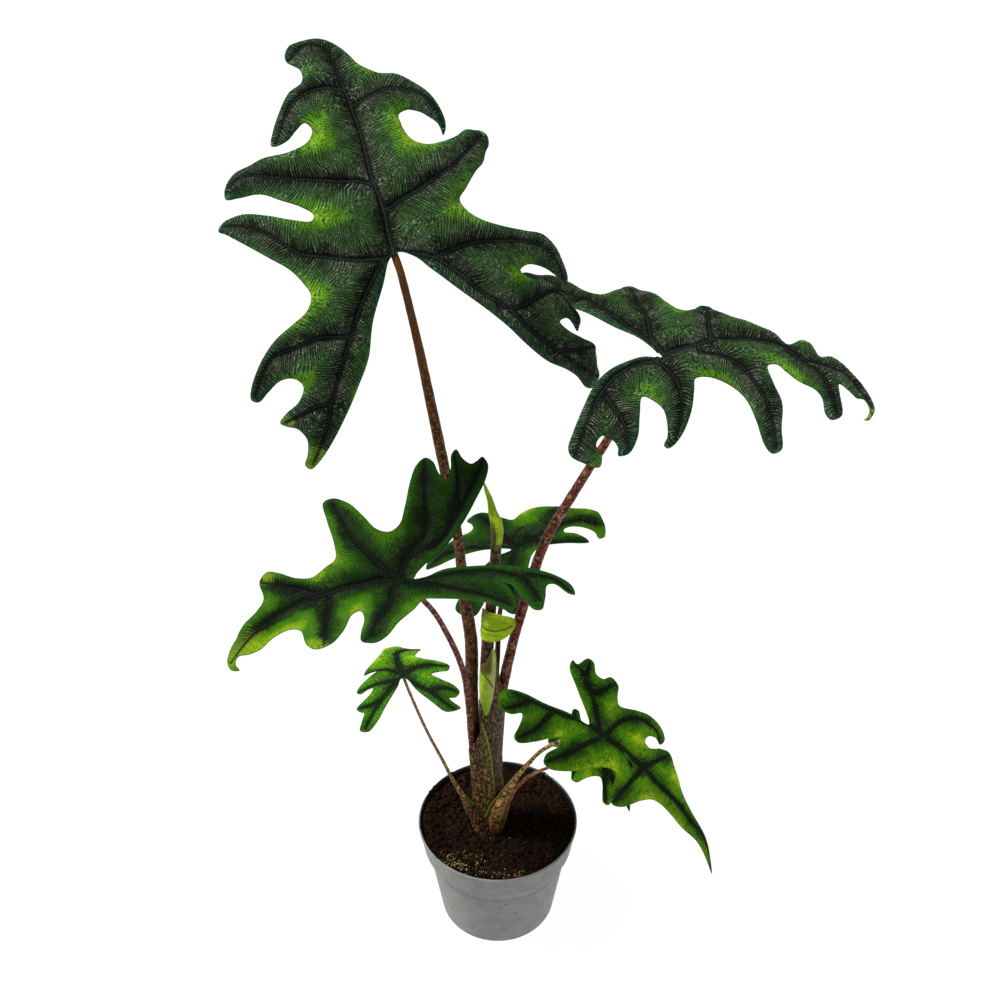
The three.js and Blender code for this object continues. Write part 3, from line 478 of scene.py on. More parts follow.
# Leaf blades: soft sheets cut into lobes, each lobe with a sunken vein down its middle that
# stands out as a rib underneath. Old blades are velvety and nearly black along the veins,
# young ones satin and bright green. u runs right of the midrib and v towards the tip, in mm.
# The pose says where the veins meet, how the blade leans and turns, and how it folds and bends.
# Some blades also have ripe spots, each as u, v and size, a scar's line or a tear's edge.
OLD = "old"
YOUNG = "young"
LEAVES = {
    "a": {
        "pose": dict(at=(-57.8, 0, 555.7), head=110, rise=52, arch=0.003, back=0.005,
                     fold_left=4, fold_right=4, droop_left=0.0035, droop_right=0.0035),
        "kind": OLD, "step": 0.88,
        "outline": [
            (3, 0), (11, -4), (21, -14), (33, -26), (46, -38), (60, -52), (72, -66), (85, -79),
            (99, -88), (107, -95), (114, -105), (120, -107), (124, -102), (124, -90), (122, -77),
            (113, -70), (103, -63), (97, -56), (103, -55), (107, -60), (110, -65), (112, -61),
            (112, -55), (106, -46), (100, -38), (91, -29), (81, -27), (74, -21), (80, -18),
            (91, -21), (98, -26), (104, -34), (107, -30), (106, -20), (103, -9), (95, 0), (84, 3),
            (69, 7), (56, 12), (48, 18), (45, 25), (51, 32), (60, 42), (66, 47), (70, 54),
            (74, 60), (73, 66), (62, 70), (54, 66), (44, 63), (34, 62), (26, 66), (22, 75),
            (22, 82), (29, 85), (38, 82), (44, 75), (46, 67), (49, 73), (49, 82), (45, 95),
            (38, 104), (28, 111), (17, 113), (8, 121), (4, 130), (-2, 140), (-10, 145),
            (-19, 144), (-28, 142), (-33, 134), (-33, 128), (-27, 123), (-28, 113),
            (-37, 107), (-46, 94), (-52, 83), (-55, 74), (-52, 73), (-45, 76), (-38, 82),
            (-33, 85), (-30, 80), (-34, 73), (-45, 69), (-60, 68), (-70, 65), (-79, 62),
            (-86, 54), (-87, 48), (-80, 47), (-67, 46), (-57, 40), (-47, 34), (-41, 28),
            (-43, 25), (-54, 28), (-66, 33), (-80, 37), (-90, 35), (-95, 30), (-91, 27),
            (-80, 17), (-70, 8), (-61, 0), (-55, -9), (-52, -17), (-56, -25), (-65, -31),
            (-76, -38), (-86, -49), (-94, -64), (-95, -71), (-91, -73), (-85, -68), (-77, -62),
            (-69, -62), (-65, -67), (-69, -76), (-77, -82), (-81, -87), (-77, -90), (-71, -93),
            (-67, -100), (-68, -110), (-70, -116), (-67, -119), (-61, -114), (-53, -104),
            (-42, -86), (-34, -72), (-26, -57), (-20, -37), (-10, -17), (-3, -3)],
        "veins": [
            [(-1, 0), (-1, 15), (-1, 27), (-3, 45), (-3, 60), (-3, 80), (-4, 93), (-5, 103),
             (-6, 120), (-7, 133), (-10, 137), (-16, 140), (-24, 137), (-30, 131)],
            [(-5, 103), (-16, 107), (-24, 106), (-31, 103), (-38, 98), (-43, 91), (-48, 82),
             (-52, 75)],
            [(-3, 93), (12, 99), (20, 101), (30, 100), (38, 97), (43, 91), (46, 84), (47, 72)],
            [(-3, 41), (-10, 44), (-27, 47), (-41, 50), (-52, 53), (-64, 57), (-71, 59), (-78, 58),
             (-84, 54)],
            [(1, 26), (10, 30), (22, 35), (40, 44), (47, 47), (56, 54), (65, 61)],
            [(-1, 0), (-6, -2), (-26, 0), (-40, 4), (-51, 7), (-57, 11), (-64, 18), (-71, 24),
             (-80, 29), (-87, 31)],
            [(-1, 0), (-8, -4), (-20, -19), (-26, -28), (-34, -43), (-43, -62), (-51, -80),
             (-54, -91), (-59, -103), (-65, -115)],
            [(-35, -43), (-51, -41), (-68, -45), (-78, -47), (-86, -56), (-92, -68)],
            [(-51, -80), (-59, -80), (-67, -83), (-75, -86)],
            [(1, 1), (22, -6), (33, -15), (47, -30), (63, -43), (78, -60), (93, -74), (113, -91)],
            [(22, -6), (44, -1), (57, -1), (69, -2), (84, -4), (93, -8), (99, -15), (103, -24),
             (104, -31)],
            [(63, -43), (72, -42), (84, -38), (93, -36), (99, -38), (105, -45), (110, -56)],
            [(93, -74), (104, -76), (116, -77)]],
        "ripe": [(-67, -117, 26), (-79, -88, 10)],
    },
    "b": {
        "pose": dict(at=(95.6, -25, 504.5), head=3, rise=0, roll=-10, arch=0.004, back=0.002,
                     fold_left=2, fold_right=-8, droop_left=0.003, droop_right=0.016),
        "kind": OLD, "step": 0.8,
        "outline": [
            (1, -1), (0, -9), (2, -17), (8, -31), (17, -41), (30, -49), (45, -57), (54, -61),
            (59, -60), (66, -50), (68, -43), (61, -41), (54, -44), (49, -40), (52, -34), (57, -31),
            (62, -31), (61, -25), (52, -19), (38, -17), (28, -15), (31, -8), (36, -3), (44, -1),
            (52, -1), (57, -3), (59, 0), (51, 8), (37, 14), (24, 16), (17, 17), (16, 24), (20, 37),
            (27, 47), (39, 55), (52, 63), (57, 70), (53, 76), (42, 73), (26, 71), (14, 65),
            (3, 62), (1, 68), (5, 73), (10, 81), (12, 93), (16, 98), (25, 101), (28, 106),
            (22, 113), (9, 111), (1, 111), (3, 117), (6, 124), (6, 129), (12, 133), (17, 132),
            (20, 129), (18, 134), (9, 137), (-5, 134), (-14, 128), (-22, 120), (-25, 112),
            (-21, 102), (-30, 98), (-31, 92), (-24, 81), (-32, 73), (-36, 62), (-42, 49),
            (-50, 39), (-52, 31), (-45, 18), (-53, 10), (-66, 4), (-74, -6), (-77, -14),
            (-73, -21), (-67, -28), (-74, -38), (-89, -47), (-105, -58), (-110, -68),
            (-118, -77), (-106, -75), (-88, -69), (-69, -60), (-57, -52), (-47, -41),
            (-31, -27), (-16, -12), (-3, -3)],
        "veins": [
            [(0, -1), (-7, 11), (-11, 22), (-15, 30), (-20, 55), (-21, 71), (-17, 79), (-12, 88),
             (-10, 120), (3, 130)],
            [(0, -1), (4, -5), (5, -14), (9, -22), (13, -29), (24, -39), (34, -45), (44, -50)],
            [(4, -6), (9, 0), (17, 5), (27, 8), (39, 8), (50, 5)],
            [(26, -36), (33, -32), (44, -26), (55, -25)],
            [(-11, 22), (-3, 22), (-1, 33), (3, 41), (9, 48), (26, 60), (38, 66), (51, 71)],
            [(-15, 79), (-9, 88), (-3, 97), (6, 103), (22, 108)],
            [(-2, 0), (-17, -5), (-42, -5), (-55, -8), (-70, -10)],
            [(-15, 30), (-28, 31), (-42, 33), (-51, 33)],
            [(0, -1), (-5, -1), (-16, -8), (-35, -21), (-51, -31), (-65, -42), (-85, -60),
             (-105, -70)]],
        "ripe": [(16, 132, 13)],
    },
    "c": {
        "pose": dict(at=(-57.8, -75, 379.5), head=197, rise=-6, roll=20, arch=0.003, back=0.001,
                     fold_left=20, fold_right=20, droop_left=0.002, droop_right=0.003),
        "kind": YOUNG, "step": 0.85,
        "ripe": [(-15, 98, 24), (-33, 58, 13), (27, 74, 11), (20, 46, 10)],
        "outline": [
            (-2, -8), (3, -14), (11, -30), (24, -46), (38, -59), (49, -68), (58, -72), (64, -70),
            (62, -66), (61, -62), (66, -58), (73, -56), (70, -52), (61, -49), (54, -44), (60, -41),
            (68, -40), (72, -36), (68, -29), (59, -23), (43, -15), (33, -9), (30, -2), (34, 5),
            (44, 10), (55, 16), (61, 24), (60, 30), (49, 31), (32, 31), (23, 33), (20, 40),
            (17, 49), (20, 58), (27, 67), (30, 73), (26, 79), (15, 80), (10, 86), (5, 97),
            (-4, 106), (-15, 110), (-24, 108), (-27, 103), (-21, 105), (-16, 103), (-18, 95),
            (-18, 89), (-13, 80), (-12, 70), (-16, 64), (-29, 62), (-35, 57), (-35, 49), (-28, 40),
            (-18, 33), (-17, 28), (-24, 27), (-34, 31), (-41, 32), (-45, 25), (-43, 18), (-35, 9),
            (-29, -1), (-23, -9), (-25, -16), (-34, -36), (-41, -45), (-48, -51), (-47, -57),
            (-40, -59), (-31, -58), (-23, -55), (-28, -60), (-42, -63), (-53, -66), (-54, -70),
            (-46, -75), (-36, -80), (-37, -84), (-47, -89), (-49, -92), (-41, -93), (-31, -88),
            (-20, -77), (-11, -62), (-5, -45), (-1, -28), (-3, -16)],
        "veins": [
            [(0, 0), (3, 12), (4, 24), (5, 35), (5, 48), (5, 60), (2, 80), (-2, 91), (-9, 99),
             (-17, 107)],
            [(2, 2), (12, 9), (24, 16), (34, 20), (58, 25)],
            [(5, 48), (9, 53), (16, 63), (22, 73)],
            [(5, 42), (-8, 46), (-27, 51)],
            [(0, 0), (-4, 5), (-16, 10), (-29, 20), (-40, 29)],
            [(2, 0), (12, -9), (17, -30), (30, -43), (44, -56), (58, -67)],
            [(12, -9), (25, -23), (44, -28), (63, -33)],
            [(30, -43), (48, -50), (65, -53)],
            [(0, 0), (-2, -3), (-11, -16), (-22, -31), (-34, -45), (-44, -54)],
            [(-4, -11), (-6, -29), (-12, -52), (-23, -67), (-46, -72)],
            [(-23, -67), (-30, -83), (-46, -91)]],
    },
    "d": {
        "pose": dict(at=(12.4, 70, 294.8), head=8, rise=5, arch=0.003, back=0.001,
                     fold_left=6, fold_right=0, droop_left=0.003, droop_right=0.014),
        "kind": YOUNG, "step": 0.85,
        "outline": [
            (1, -3), (6, -14), (14, -25), (24, -36), (36, -46), (44, -50), (50, -44), (51, -37),
            (44, -30), (38, -25), (46, -19), (54, -12), (54, -4), (46, 0), (34, 2), (22, 6),
            (10, 11), (3, 18), (1, 28), (1, 39), (2, 48), (1, 54), (-4, 52), (-9, 46), (-11, 38),
            (-14, 38), (-17, 44), (-15, 54), (-10, 60), (-3, 62), (-4, 66), (-14, 69), (-24, 69),
            (-34, 67), (-38, 60), (-39, 52), (-42, 42), (-44, 28), (-42, 18), (-36, 9), (-31, 3),
            (-36, -4), (-44, -12), (-47, -18), (-45, -25), (-39, -30), (-34, -27), (-28, -27),
            (-24, -31), (-22, -38), (-17, -46), (-10, -56), (-2, -63), (6, -65), (5, -58),
            (1, -48), (-2, -36), (-3, -22), (-2, -10)],
        "veins": [
            [(0, 0), (-8, 14), (-16, 30), (-24, 48), (-20, 66)],
            [(-8, 14), (-2, 24), (-1, 40), (0, 52)],
            [(0, 0), (16, -4), (34, -8), (52, -8)],
            [(0, 0), (10, -16), (24, -32), (44, -46)],
            [(-16, 30), (-30, 36), (-40, 40)],
            [(0, 0), (-16, -6), (-32, -14), (-44, -20)],
            [(0, 0), (-4, -16), (-8, -34), (-6, -50), (3, -62)]],
        "scar": [(-8, -7), (-11, -2), (-13, 2), (-17, 5), (-20, 9)],
    },
    "e": {
        "pose": dict(at=(-61.7, -40, 270.8), head=108, rise=8, arch=0.014, back=0.018,
                     fold_left=4, fold_right=4, droop_left=0.006, droop_right=0.006),
        "kind": YOUNG, "step": 0.6,
        "outline": [
            (1, -2), (5, -12), (13, -23), (20, -31), (25, -32), (31, -31), (27, -26), (25, -23),
            (30, -23), (33, -20), (31, -15), (23, -8), (18, -3), (24, -2), (30, -2), (32, 2),
            (25, 8), (16, 13), (12, 17), (15, 21), (18, 24), (12, 27), (8, 30), (5, 35), (0, 37),
            (-5, 35), (-9, 28), (-14, 22), (-22, 14), (-25, 9), (-20, 10), (-16, 10), (-19, 8),
            (-28, 2), (-33, -4), (-31, -6), (-25, -4), (-22, -4), (-24, -7), (-31, -12),
            (-36, -16), (-34, -19), (-32, -20), (-35, -26), (-37, -31), (-32, -33), (-25, -28),
            (-17, -19), (-6, -7), (-2, -1)],
        "veins": [
            [(0, 2), (0, 16), (2, 26), (8, 27), (18, 24)],
            [(0, 1), (-10, -7), (-22, -17), (-33, -30)],
            [(-22, -16), (-34, -16)],
            [(0, 1), (7, -9), (14, -16), (22, -26), (27, -31)],
            [(13, -15), (24, -15), (30, -18)],
            [(0, 2), (12, 6), (31, 2)],
            [(0, 3), (-10, 10), (-23, 10)],
            [(0, 1), (-6, -2), (-18, -1), (-32, -4)]],
    },
    "f": {
        "pose": dict(at=(71.5, -45, 221.9), head=-40, rise=-40, spin=12, arch=0.002, back=0.001,
                     fold_left=4, fold_right=4, droop_left=0.003, droop_right=0.003),
        "kind": YOUNG, "step": 0.75,
        "outline": [
            (1, -12), (6, -28), (14, -46), (19, -61), (26, -72), (33, -74), (40, -68), (38, -60),
            (32, -54), (39, -51), (49, -49), (50, -45), (41, -36), (30, -28), (26, -24), (30, -21),
            (42, -25), (48, -23), (48, -17), (39, -5), (27, 5), (17, 15), (15, 22), (22, 25),
            (31, 27), (34, 32), (30, 39), (16, 48), (8, 55), (5, 62), (4, 75), (4, 86), (1, 103),
            (3, 114), (8, 127), (-1, 118), (-7, 107), (-11, 87), (-16, 71), (-24, 59), (-30, 48),
            (-27, 41), (-20, 33), (-21, 28), (-26, 28), (-30, 33), (-29, 39), (-35, 40), (-40, 33),
            (-40, 21), (-35, 11), (-27, -2), (-31, -6), (-39, -10), (-40, -18), (-34, -22),
            (-33, -28), (-39, -34), (-38, -39), (-28, -43), (-28, -47), (-22, -46), (-12, -32),
            (-2, -15)],
        "veins": [
            [(0, 0), (-3, 13), (-4, 25), (-5, 37), (-5, 49), (-6, 62), (-7, 76), (-6, 92), (-6, 104),
             (-1, 118), (6, 126)],
            [(-2, 2), (-15, 4), (-29, 12), (-34, 22), (-34, 33), (-30, 38)],
            [(0, 0), (-1, -3), (-15, -19), (-26, -36), (-27, -44)],
            [(-19, -22), (-28, -17), (-36, -14)],
            [(-24, -32), (-36, -36)],
            [(0, 0), (2, -15), (9, -28), (15, -42), (20, -55), (24, -66)],
            [(15, -38), (34, -41), (48, -47)],
            [(21, -55), (29, -59), (36, -64)],
            [(2, 0), (16, -7), (29, -13), (44, -21)],
            [(-3, 37), (9, 35), (23, 33), (32, 32)],
            [(-6, 37), (-15, 42), (-27, 48)]],
        "tear": [(-2.8, 19.5), (-0.4, 23.2), (1.8, 28), (2.3, 33), (-0.6, 29.8), (-2.3, 25)],
    },
    "g": {
        "pose": dict(at=(70.8, -22, 186.6), head=-70, rise=-40, roll=-18, arch=0.003, back=0.002,
                     fold_left=4, fold_right=4, droop_left=0.004, droop_right=0.004),
        "kind": YOUNG, "step": 0.75,
        "outline": [
            (1, -5), (4, -13), (6, -22), (6, -29), (9, -31), (12, -27), (13, -21), (16, -17), (21, -17),
            (30, -17), (33, -14), (31, -10), (23, -6), (18, -1), (21, 6), (23, 12), (24, 16), (21, 19),
            (15, 18), (8, 18), (4, 20), (4, 25), (6, 32), (7, 37), (4, 40), (0, 37), (-4, 33),
            (-6, 32), (-7, 37), (-8, 44), (-9, 48), (-12, 40), (-14, 32), (-20, 26), (-26, 21),
            (-32, 20), (-35, 16), (-31, 12), (-23, 11), (-18, 8), (-24, 2), (-32, -3), (-34, -8),
            (-29, -11), (-22, -8), (-15, -5), (-14, -11), (-18, -19), (-17, -24), (-13, -22),
            (-8, -15), (-4, -8)],
        "veins": [
            [(0, 0), (-2, 12), (-4, 24), (-7, 38), (-9, 47)],
            [(0, 1), (10, 3), (18, 8), (23, 14)],
            [(-2, 14), (2, 24), (4, 32), (5, 38)],
            [(0, 0), (8, -7), (18, -11), (31, -14)],
            [(7, -7), (9, -18), (9, -28)],
            [(-2, 12), (-14, 16), (-24, 18), (-33, 18)],
            [(0, 1), (-14, -1), (-24, -4), (-33, -7)],
            [(0, 0), (-7, -9), (-13, -17), (-17, -22)]],
    },
}

# Heights in mm: how deep the veins sink, how far the margin rolls down, how much the blade
# swells at random and how high its ridges stand. Between these lie the skin's finer ridges.
RELIEF = {
    OLD: dict(valley=5.4, lip=2.6, swell=1.2, ridge=0.1),
    YOUNG: dict(valley=2.2, lip=0.8, swell=0.9, ridge=0.04),
}
RIDGES = 3.2
FINE_RIDGES = 1.6
RIDGE_LEAN = 0.42
VEIN_LEVEL = 0.38
SIDE_VEIN = 0.85
VALLEY_WIDTH = 7.5
LIP_WIDTH = 3.5
RIB_HEIGHT = 1.5
EDGE_THICKNESS = 0.34
EXTRA_THICKNESS = 0.4


def leaf_axes(pose):
    """The blade's right, its tip's direction and its upper side at the veins' junction."""
    head, rise, roll, spin = (math.radians(pose.get(key, 0)) for key in ("head", "rise", "roll", "spin"))
    along = np.array([math.cos(head) * math.cos(rise), math.sin(head) * math.cos(rise), math.sin(rise)])
    level = np.array([math.sin(head), -math.cos(head), 0])
    across = level * math.cos(roll) + np.cross(level, along) * math.sin(roll)
    right = across * math.cos(spin) + along * math.sin(spin)
    tip = along * math.cos(spin) - across * math.sin(spin)
    return right, tip, np.cross(across, along)


def bend(length, start, rate):
    """Forward and upward reach along an arc that starts at an angle and turns down by rate per mm."""
    rate = np.where(np.abs(rate) < 1e-7, 1e-7, rate)
    end = start - rate * length
    return (np.sin(start) - np.sin(end)) / rate, (np.cos(end) - np.cos(start)) / rate


def on_blade(pose, u, v):
    """Where the flat points u and v lie on the bent blade, in mm."""
    right, tip, normal = leaf_axes(pose)
    rate = np.where(v >= 0, pose["arch"], pose["back"])
    forward, lift = bend(np.abs(v), 0, rate)
    slope = rate * np.abs(v)
    fold = np.radians(np.where(u < 0, pose["fold_left"], pose["fold_right"]))
    side, height = bend(np.abs(u), fold, np.where(u < 0, pose["droop_left"], pose["droop_right"]))
    return (np.array(pose["at"]) + np.where(u < 0, -side, side)[:, None] * right
            + (np.where(v >= 0, 1, -1) * (forward + height * np.sin(slope)))[:, None] * tip
            + (lift + height * np.cos(slope))[:, None] * normal)


def blade_normals(pose, u, v):
    """The bent blade's upward directions at the flat points u and v."""
    across = on_blade(pose, u + 0.5, v) - on_blade(pose, u - 0.5, v)
    along = on_blade(pose, u, v + 0.5) - on_blade(pose, u, v - 0.5)
    normals = np.cross(across, along)
    return normals / np.linalg.norm(normals, axis=1)[:, None]


def smooth_path(points, step, closed=False):
    """Points about every step mm along the centripetal curve through the given ones."""
    points = np.asarray(points, float)
    if closed:
        padded = np.vstack([points[-1], points, points[:2]])
    else:
        padded = np.vstack([2 * points[0] - points[1], points, 2 * points[-1] - points[-2]])
    width = min(points.shape[1], 3)
    result = []
    for i in range(len(padded) - 3):
        p = padded[i:i + 4]
        gaps = np.maximum(np.linalg.norm(np.diff(p[:, :width], axis=0), axis=1) ** 0.5, 1e-6)
        t = np.concatenate([[0], np.cumsum(gaps)])
        parts = max(1, round(np.linalg.norm(p[2, :width] - p[1, :width]) / step))
        x = (t[1] + (t[2] - t[1]) * np.arange(parts) / parts)[:, None]
        a = [((t[k + 1] - x) * p[k] + (x - t[k]) * p[k + 1]) / (t[k + 1] - t[k]) for k in range(3)]
        b = [((t[k + 2] - x) * a[k] + (x - t[k]) * a[k + 1]) / (t[k + 2] - t[k]) for k in range(2)]
        result.append(((t[2] - x) * b[0] + (x - t[1]) * b[1]) / (t[2] - t[1]))
    if not closed:
        result.append(points[-1:])
    return np.vstack(result)


def to_line(points, line):
    """Each point's distance to a line of points, and how far along the line it lies."""
    a, b = line[:-1], line[1:]
    step = b - a
    size = np.maximum((step ** 2).sum(1), 1e-9)
    starts = np.concatenate([[0], np.cumsum(np.sqrt(size))])[:-1]
    distance, along = np.empty(len(points)), np.empty(len(points))
    batch = 4000
    for low in range(0, len(points), batch):
        part = points[low:low + batch, None]
        t = np.clip(((part - a) * step).sum(2) / size, 0, 1)
        gap = np.sqrt(((part - a - t[..., None] * step) ** 2).sum(2))
        best = gap.argmin(1)
        rows = np.arange(len(best))
        distance[low:low + batch] = gap[rows, best]
        along[low:low + batch] = starts[best] + t[rows, best] * np.sqrt(size[best])
    return distance, along


def within(points, edge):
    """Which points lie inside a closed edge."""
    found = np.zeros(len(points), bool)
    for a, b in zip(edge, np.roll(edge, -1, axis=0)):
        if a[1] == b[1]:
            continue
        level = (a[1] > points[:, 1]) != (b[1] > points[:, 1])
        found ^= level & (points[:, 0] < (b[0] - a[0]) * (points[:, 1] - a[1]) / (b[1] - a[1]) + a[0])
    return found


def run_out(vein, edge):
    """The vein drawn on in its last direction, by 25 mm at most, until it almost meets the margin."""
    line = [np.array(point, float) for point in vein]
    step = (line[-1] - line[-2]) / np.linalg.norm(line[-1] - line[-2])
    ring = np.vstack([edge, edge[:1]])
    for _ in range(25):
        ahead = (line[-1] + step)[None]
        if not within(ahead, edge)[0] or to_line(ahead, ring)[0][0] < 1.8:
            break
        line.append(ahead[0])
    return line


def flat_mesh(edge, veins, step, tear=None):
    """Fine even triangles inside an edge, with rows of points down each vein and an open tear."""
    ring = np.vstack([edge, edge[:1]])
    low, high = edge.min(0), edge.max(0)
    pitch = step * math.sqrt(3) / 2
    columns = np.arange(math.ceil(low[0] / pitch), high[0] / pitch)
    heights = np.arange(low[1], high[1], step)
    grid = np.vstack([np.column_stack([np.full(len(heights), i * pitch), heights + i % 2 * step / 2])
                      for i in columns])
    grid = grid[within(grid, edge)]
    grid = grid[to_line(grid, ring)[0] > step * 0.55]
    rows = []
    for vein in veins:
        line = smooth_path(vein, step)
        along = np.gradient(line, axis=0)
        along /= np.linalg.norm(along, axis=1)[:, None]
        across = np.column_stack([along[:, 1], -along[:, 0]])
        grid = grid[to_line(grid, line)[0] > step * 1.25]
        rows += [line, line + across * step * 0.7, line - across * step * 0.7]
    rows = np.vstack(rows)
    rows = rows[within(rows, edge)]
    rows = rows[to_line(rows, ring)[0] > step * 0.5]
    cells = np.round(rows / (step * 0.45)).astype(int)
    rows = rows[np.sort(np.unique(cells, axis=0, return_index=True)[1])]
    points = np.vstack([edge, grid, rows])
    loop = [(i, (i + 1) % len(edge)) for i in range(len(edge))]
    if tear is not None:
        torn = np.vstack([tear, tear[:1]])
        points = points[~within(points, tear) & (to_line(points, torn)[0] > step * 0.4)]
        loop += [(len(points) + i, len(points) + (i + 1) % len(tear)) for i in range(len(tear))]
        points = np.vstack([points, tear])
    made = delaunay_2d_cdt([Vector(point) for point in points.tolist()], loop, [], 1, 1e-6)
    flat = np.array([tuple(point) for point in made[0]])
    faces = np.array([face for face in made[2] if len(face) == 3])
    if tear is not None:
        faces = faces[~within(flat[faces].mean(1), tear)]
    corner = flat[faces]
    first, second = corner[:, 1] - corner[:, 0], corner[:, 2] - corner[:, 0]
    turn = first[:, 0] * second[:, 1] - first[:, 1] * second[:, 0]
    faces[turn < 0] = faces[turn < 0][:, ::-1]
    margin = to_line(flat, ring)[0]
    if tear is not None:
        margin = np.minimum(margin, to_line(flat, torn)[0])
    return flat, faces, margin


def two_sided(faces, count):
    """Faces of a closed sheet whose upper and lower points are triangulated alike."""
    pairs = np.vstack([faces[:, [0, 1]], faces[:, [1, 2]], faces[:, [2, 0]]])
    known = {tuple(pair) for pair in pairs.tolist()}
    rim = sorted(pair for pair in known if pair[::-1] not in known)
    sides = [(a + count, b + count, b, a) for a, b in rim]
    return faces.tolist() + (faces[:, ::-1] + count).tolist() + sides


def vein_fields(flat, veins):
    """For each point its distance to the veins, how strong they are there, how far it lies from
    the line between two veins, and a length along the nearest one that the ridges follow."""
    lines = [smooth_path(vein, 2.0) for vein in veins]
    found = [to_line(flat, line) for line in lines]
    distance = np.array([pair[0] for pair in found])
    along = np.array([pair[1] for pair in found])
    lengths = np.array([np.linalg.norm(np.diff(line, axis=0), axis=1).sum() for line in lines])[:, None]
    main = np.array([1.0] + [SIDE_VEIN] * (len(lines) - 1))[:, None]
    strength = main * (1 - 0.7 * (along / lengths) ** 1.4)
    nearest = distance.min(0)
    weight = np.exp(-(distance - nearest) / 2.5)
    blended = (weight * strength).sum(0) / weight.sum(0)
    rounded = np.maximum(nearest - 2.2 * np.log(weight.sum(0)), 0) if len(lines) > 1 else nearest
    rounded = np.where(nearest < 2, np.minimum(nearest, rounded + nearest), rounded)
    order = distance.argmin(0)
    flow = along[order, np.arange(len(flat))] - RIDGE_LEAN * nearest + order * 17.3
    clear = np.sort(distance, axis=0)[1] - nearest if len(lines) > 1 else nearest + 9
    return nearest, rounded, blended, clear, flow


def leaf_blade(name, leaf):
    """One blade: a closed sheet whose top sinks along the veins and whose ribs stand out below."""
    pose, relief = leaf["pose"], RELIEF[leaf["kind"]]
    skin, slot, fineness = LEAF_LOOKS[name]
    outer = smooth_path(leaf["outline"], leaf["step"] * 1.1, closed=True)
    veins = [run_out(vein, outer) for vein in leaf["veins"]]
    tear = smooth_path(leaf["tear"], 0.6, closed=True) if "tear" in leaf else None
    flat, faces, edge = flat_mesh(outer, veins, leaf["step"], tear)
    u, v = flat[:, 0], flat[:, 1]
    vein, reach, strength, clear, flow = vein_fields(flat, veins)
    warp = np.array([noise.noise(Vector((x * 0.09, y * 0.09, 3.7))) for x, y in flat.tolist()])
    flow = flow + 3.0 * warp
    slopes = (0.3 + 0.7 * strength) * (1 - np.exp(-reach / VALLEY_WIDTH))
    rise = relief["valley"] * (slopes - VEIN_LEVEL)
    cord = 0.45 * np.exp(-(vein / 0.8) ** 2) * strength
    rise += cord - 0.5 * np.exp(-(vein / 2.2) ** 2) * (0.3 + strength)
    rise -= relief["lip"] * np.exp(-edge / LIP_WIDTH) * fade(vein, 1, 7)
    rise += relief["swell"] * warp * fade(edge, 0, 6)
    ridge = np.sin(flow * math.tau / RIDGES) * fade(vein, 1.5, 5) * fade(clear, 1, 4)
    rise += relief["ridge"] * ridge
    thick = EDGE_THICKNESS + EXTRA_THICKNESS * fade(edge, 0, 2)
    rib = RIB_HEIGHT * strength * np.exp(-(vein / (0.7 + 0.9 * strength)) ** 2) * fade(edge, 0, 3)
    base, normals = on_blade(pose, u, v), blade_normals(pose, u, v)
    top = base + normals * rise[:, None]
    under = base + normals * (rise - thick - rib)[:, None]
    count = len(flat)
    sunny = fade(v / np.abs(v).max() + 0.25 * warp, -0.5, 0.7)
    scar, ripe = np.zeros(count), np.zeros(count)
    if "scar" in leaf:
        scar = fade(to_line(flat, np.array(leaf["scar"], float))[0], 2.4, 0.6)
    for x, y, size in leaf.get("ripe", []):
        ripe += fade(np.hypot(u - x, v - y) + 4 * warp, size, 0.2 * size)
    ripe = np.clip(ripe, 0, 1)
    marks = {
        "veins": np.tile(np.column_stack([vein, reach * fineness, strength]), (2, 1)),
        "ridges": np.tile(np.column_stack([flow, vein, clear]), (2, 1)),
        "place": np.tile(np.column_stack([edge, sunny, ripe]), (2, 1)),
        "scar": np.tile(scar, 2),
        "under": np.repeat([0.0, 1.0], count),
    }
    blade = make_piece(f"leaf_{name}", np.vstack([top, under]), two_sided(faces, count), skin, marks)
    declare(blade, slot, f"blade_{name}")


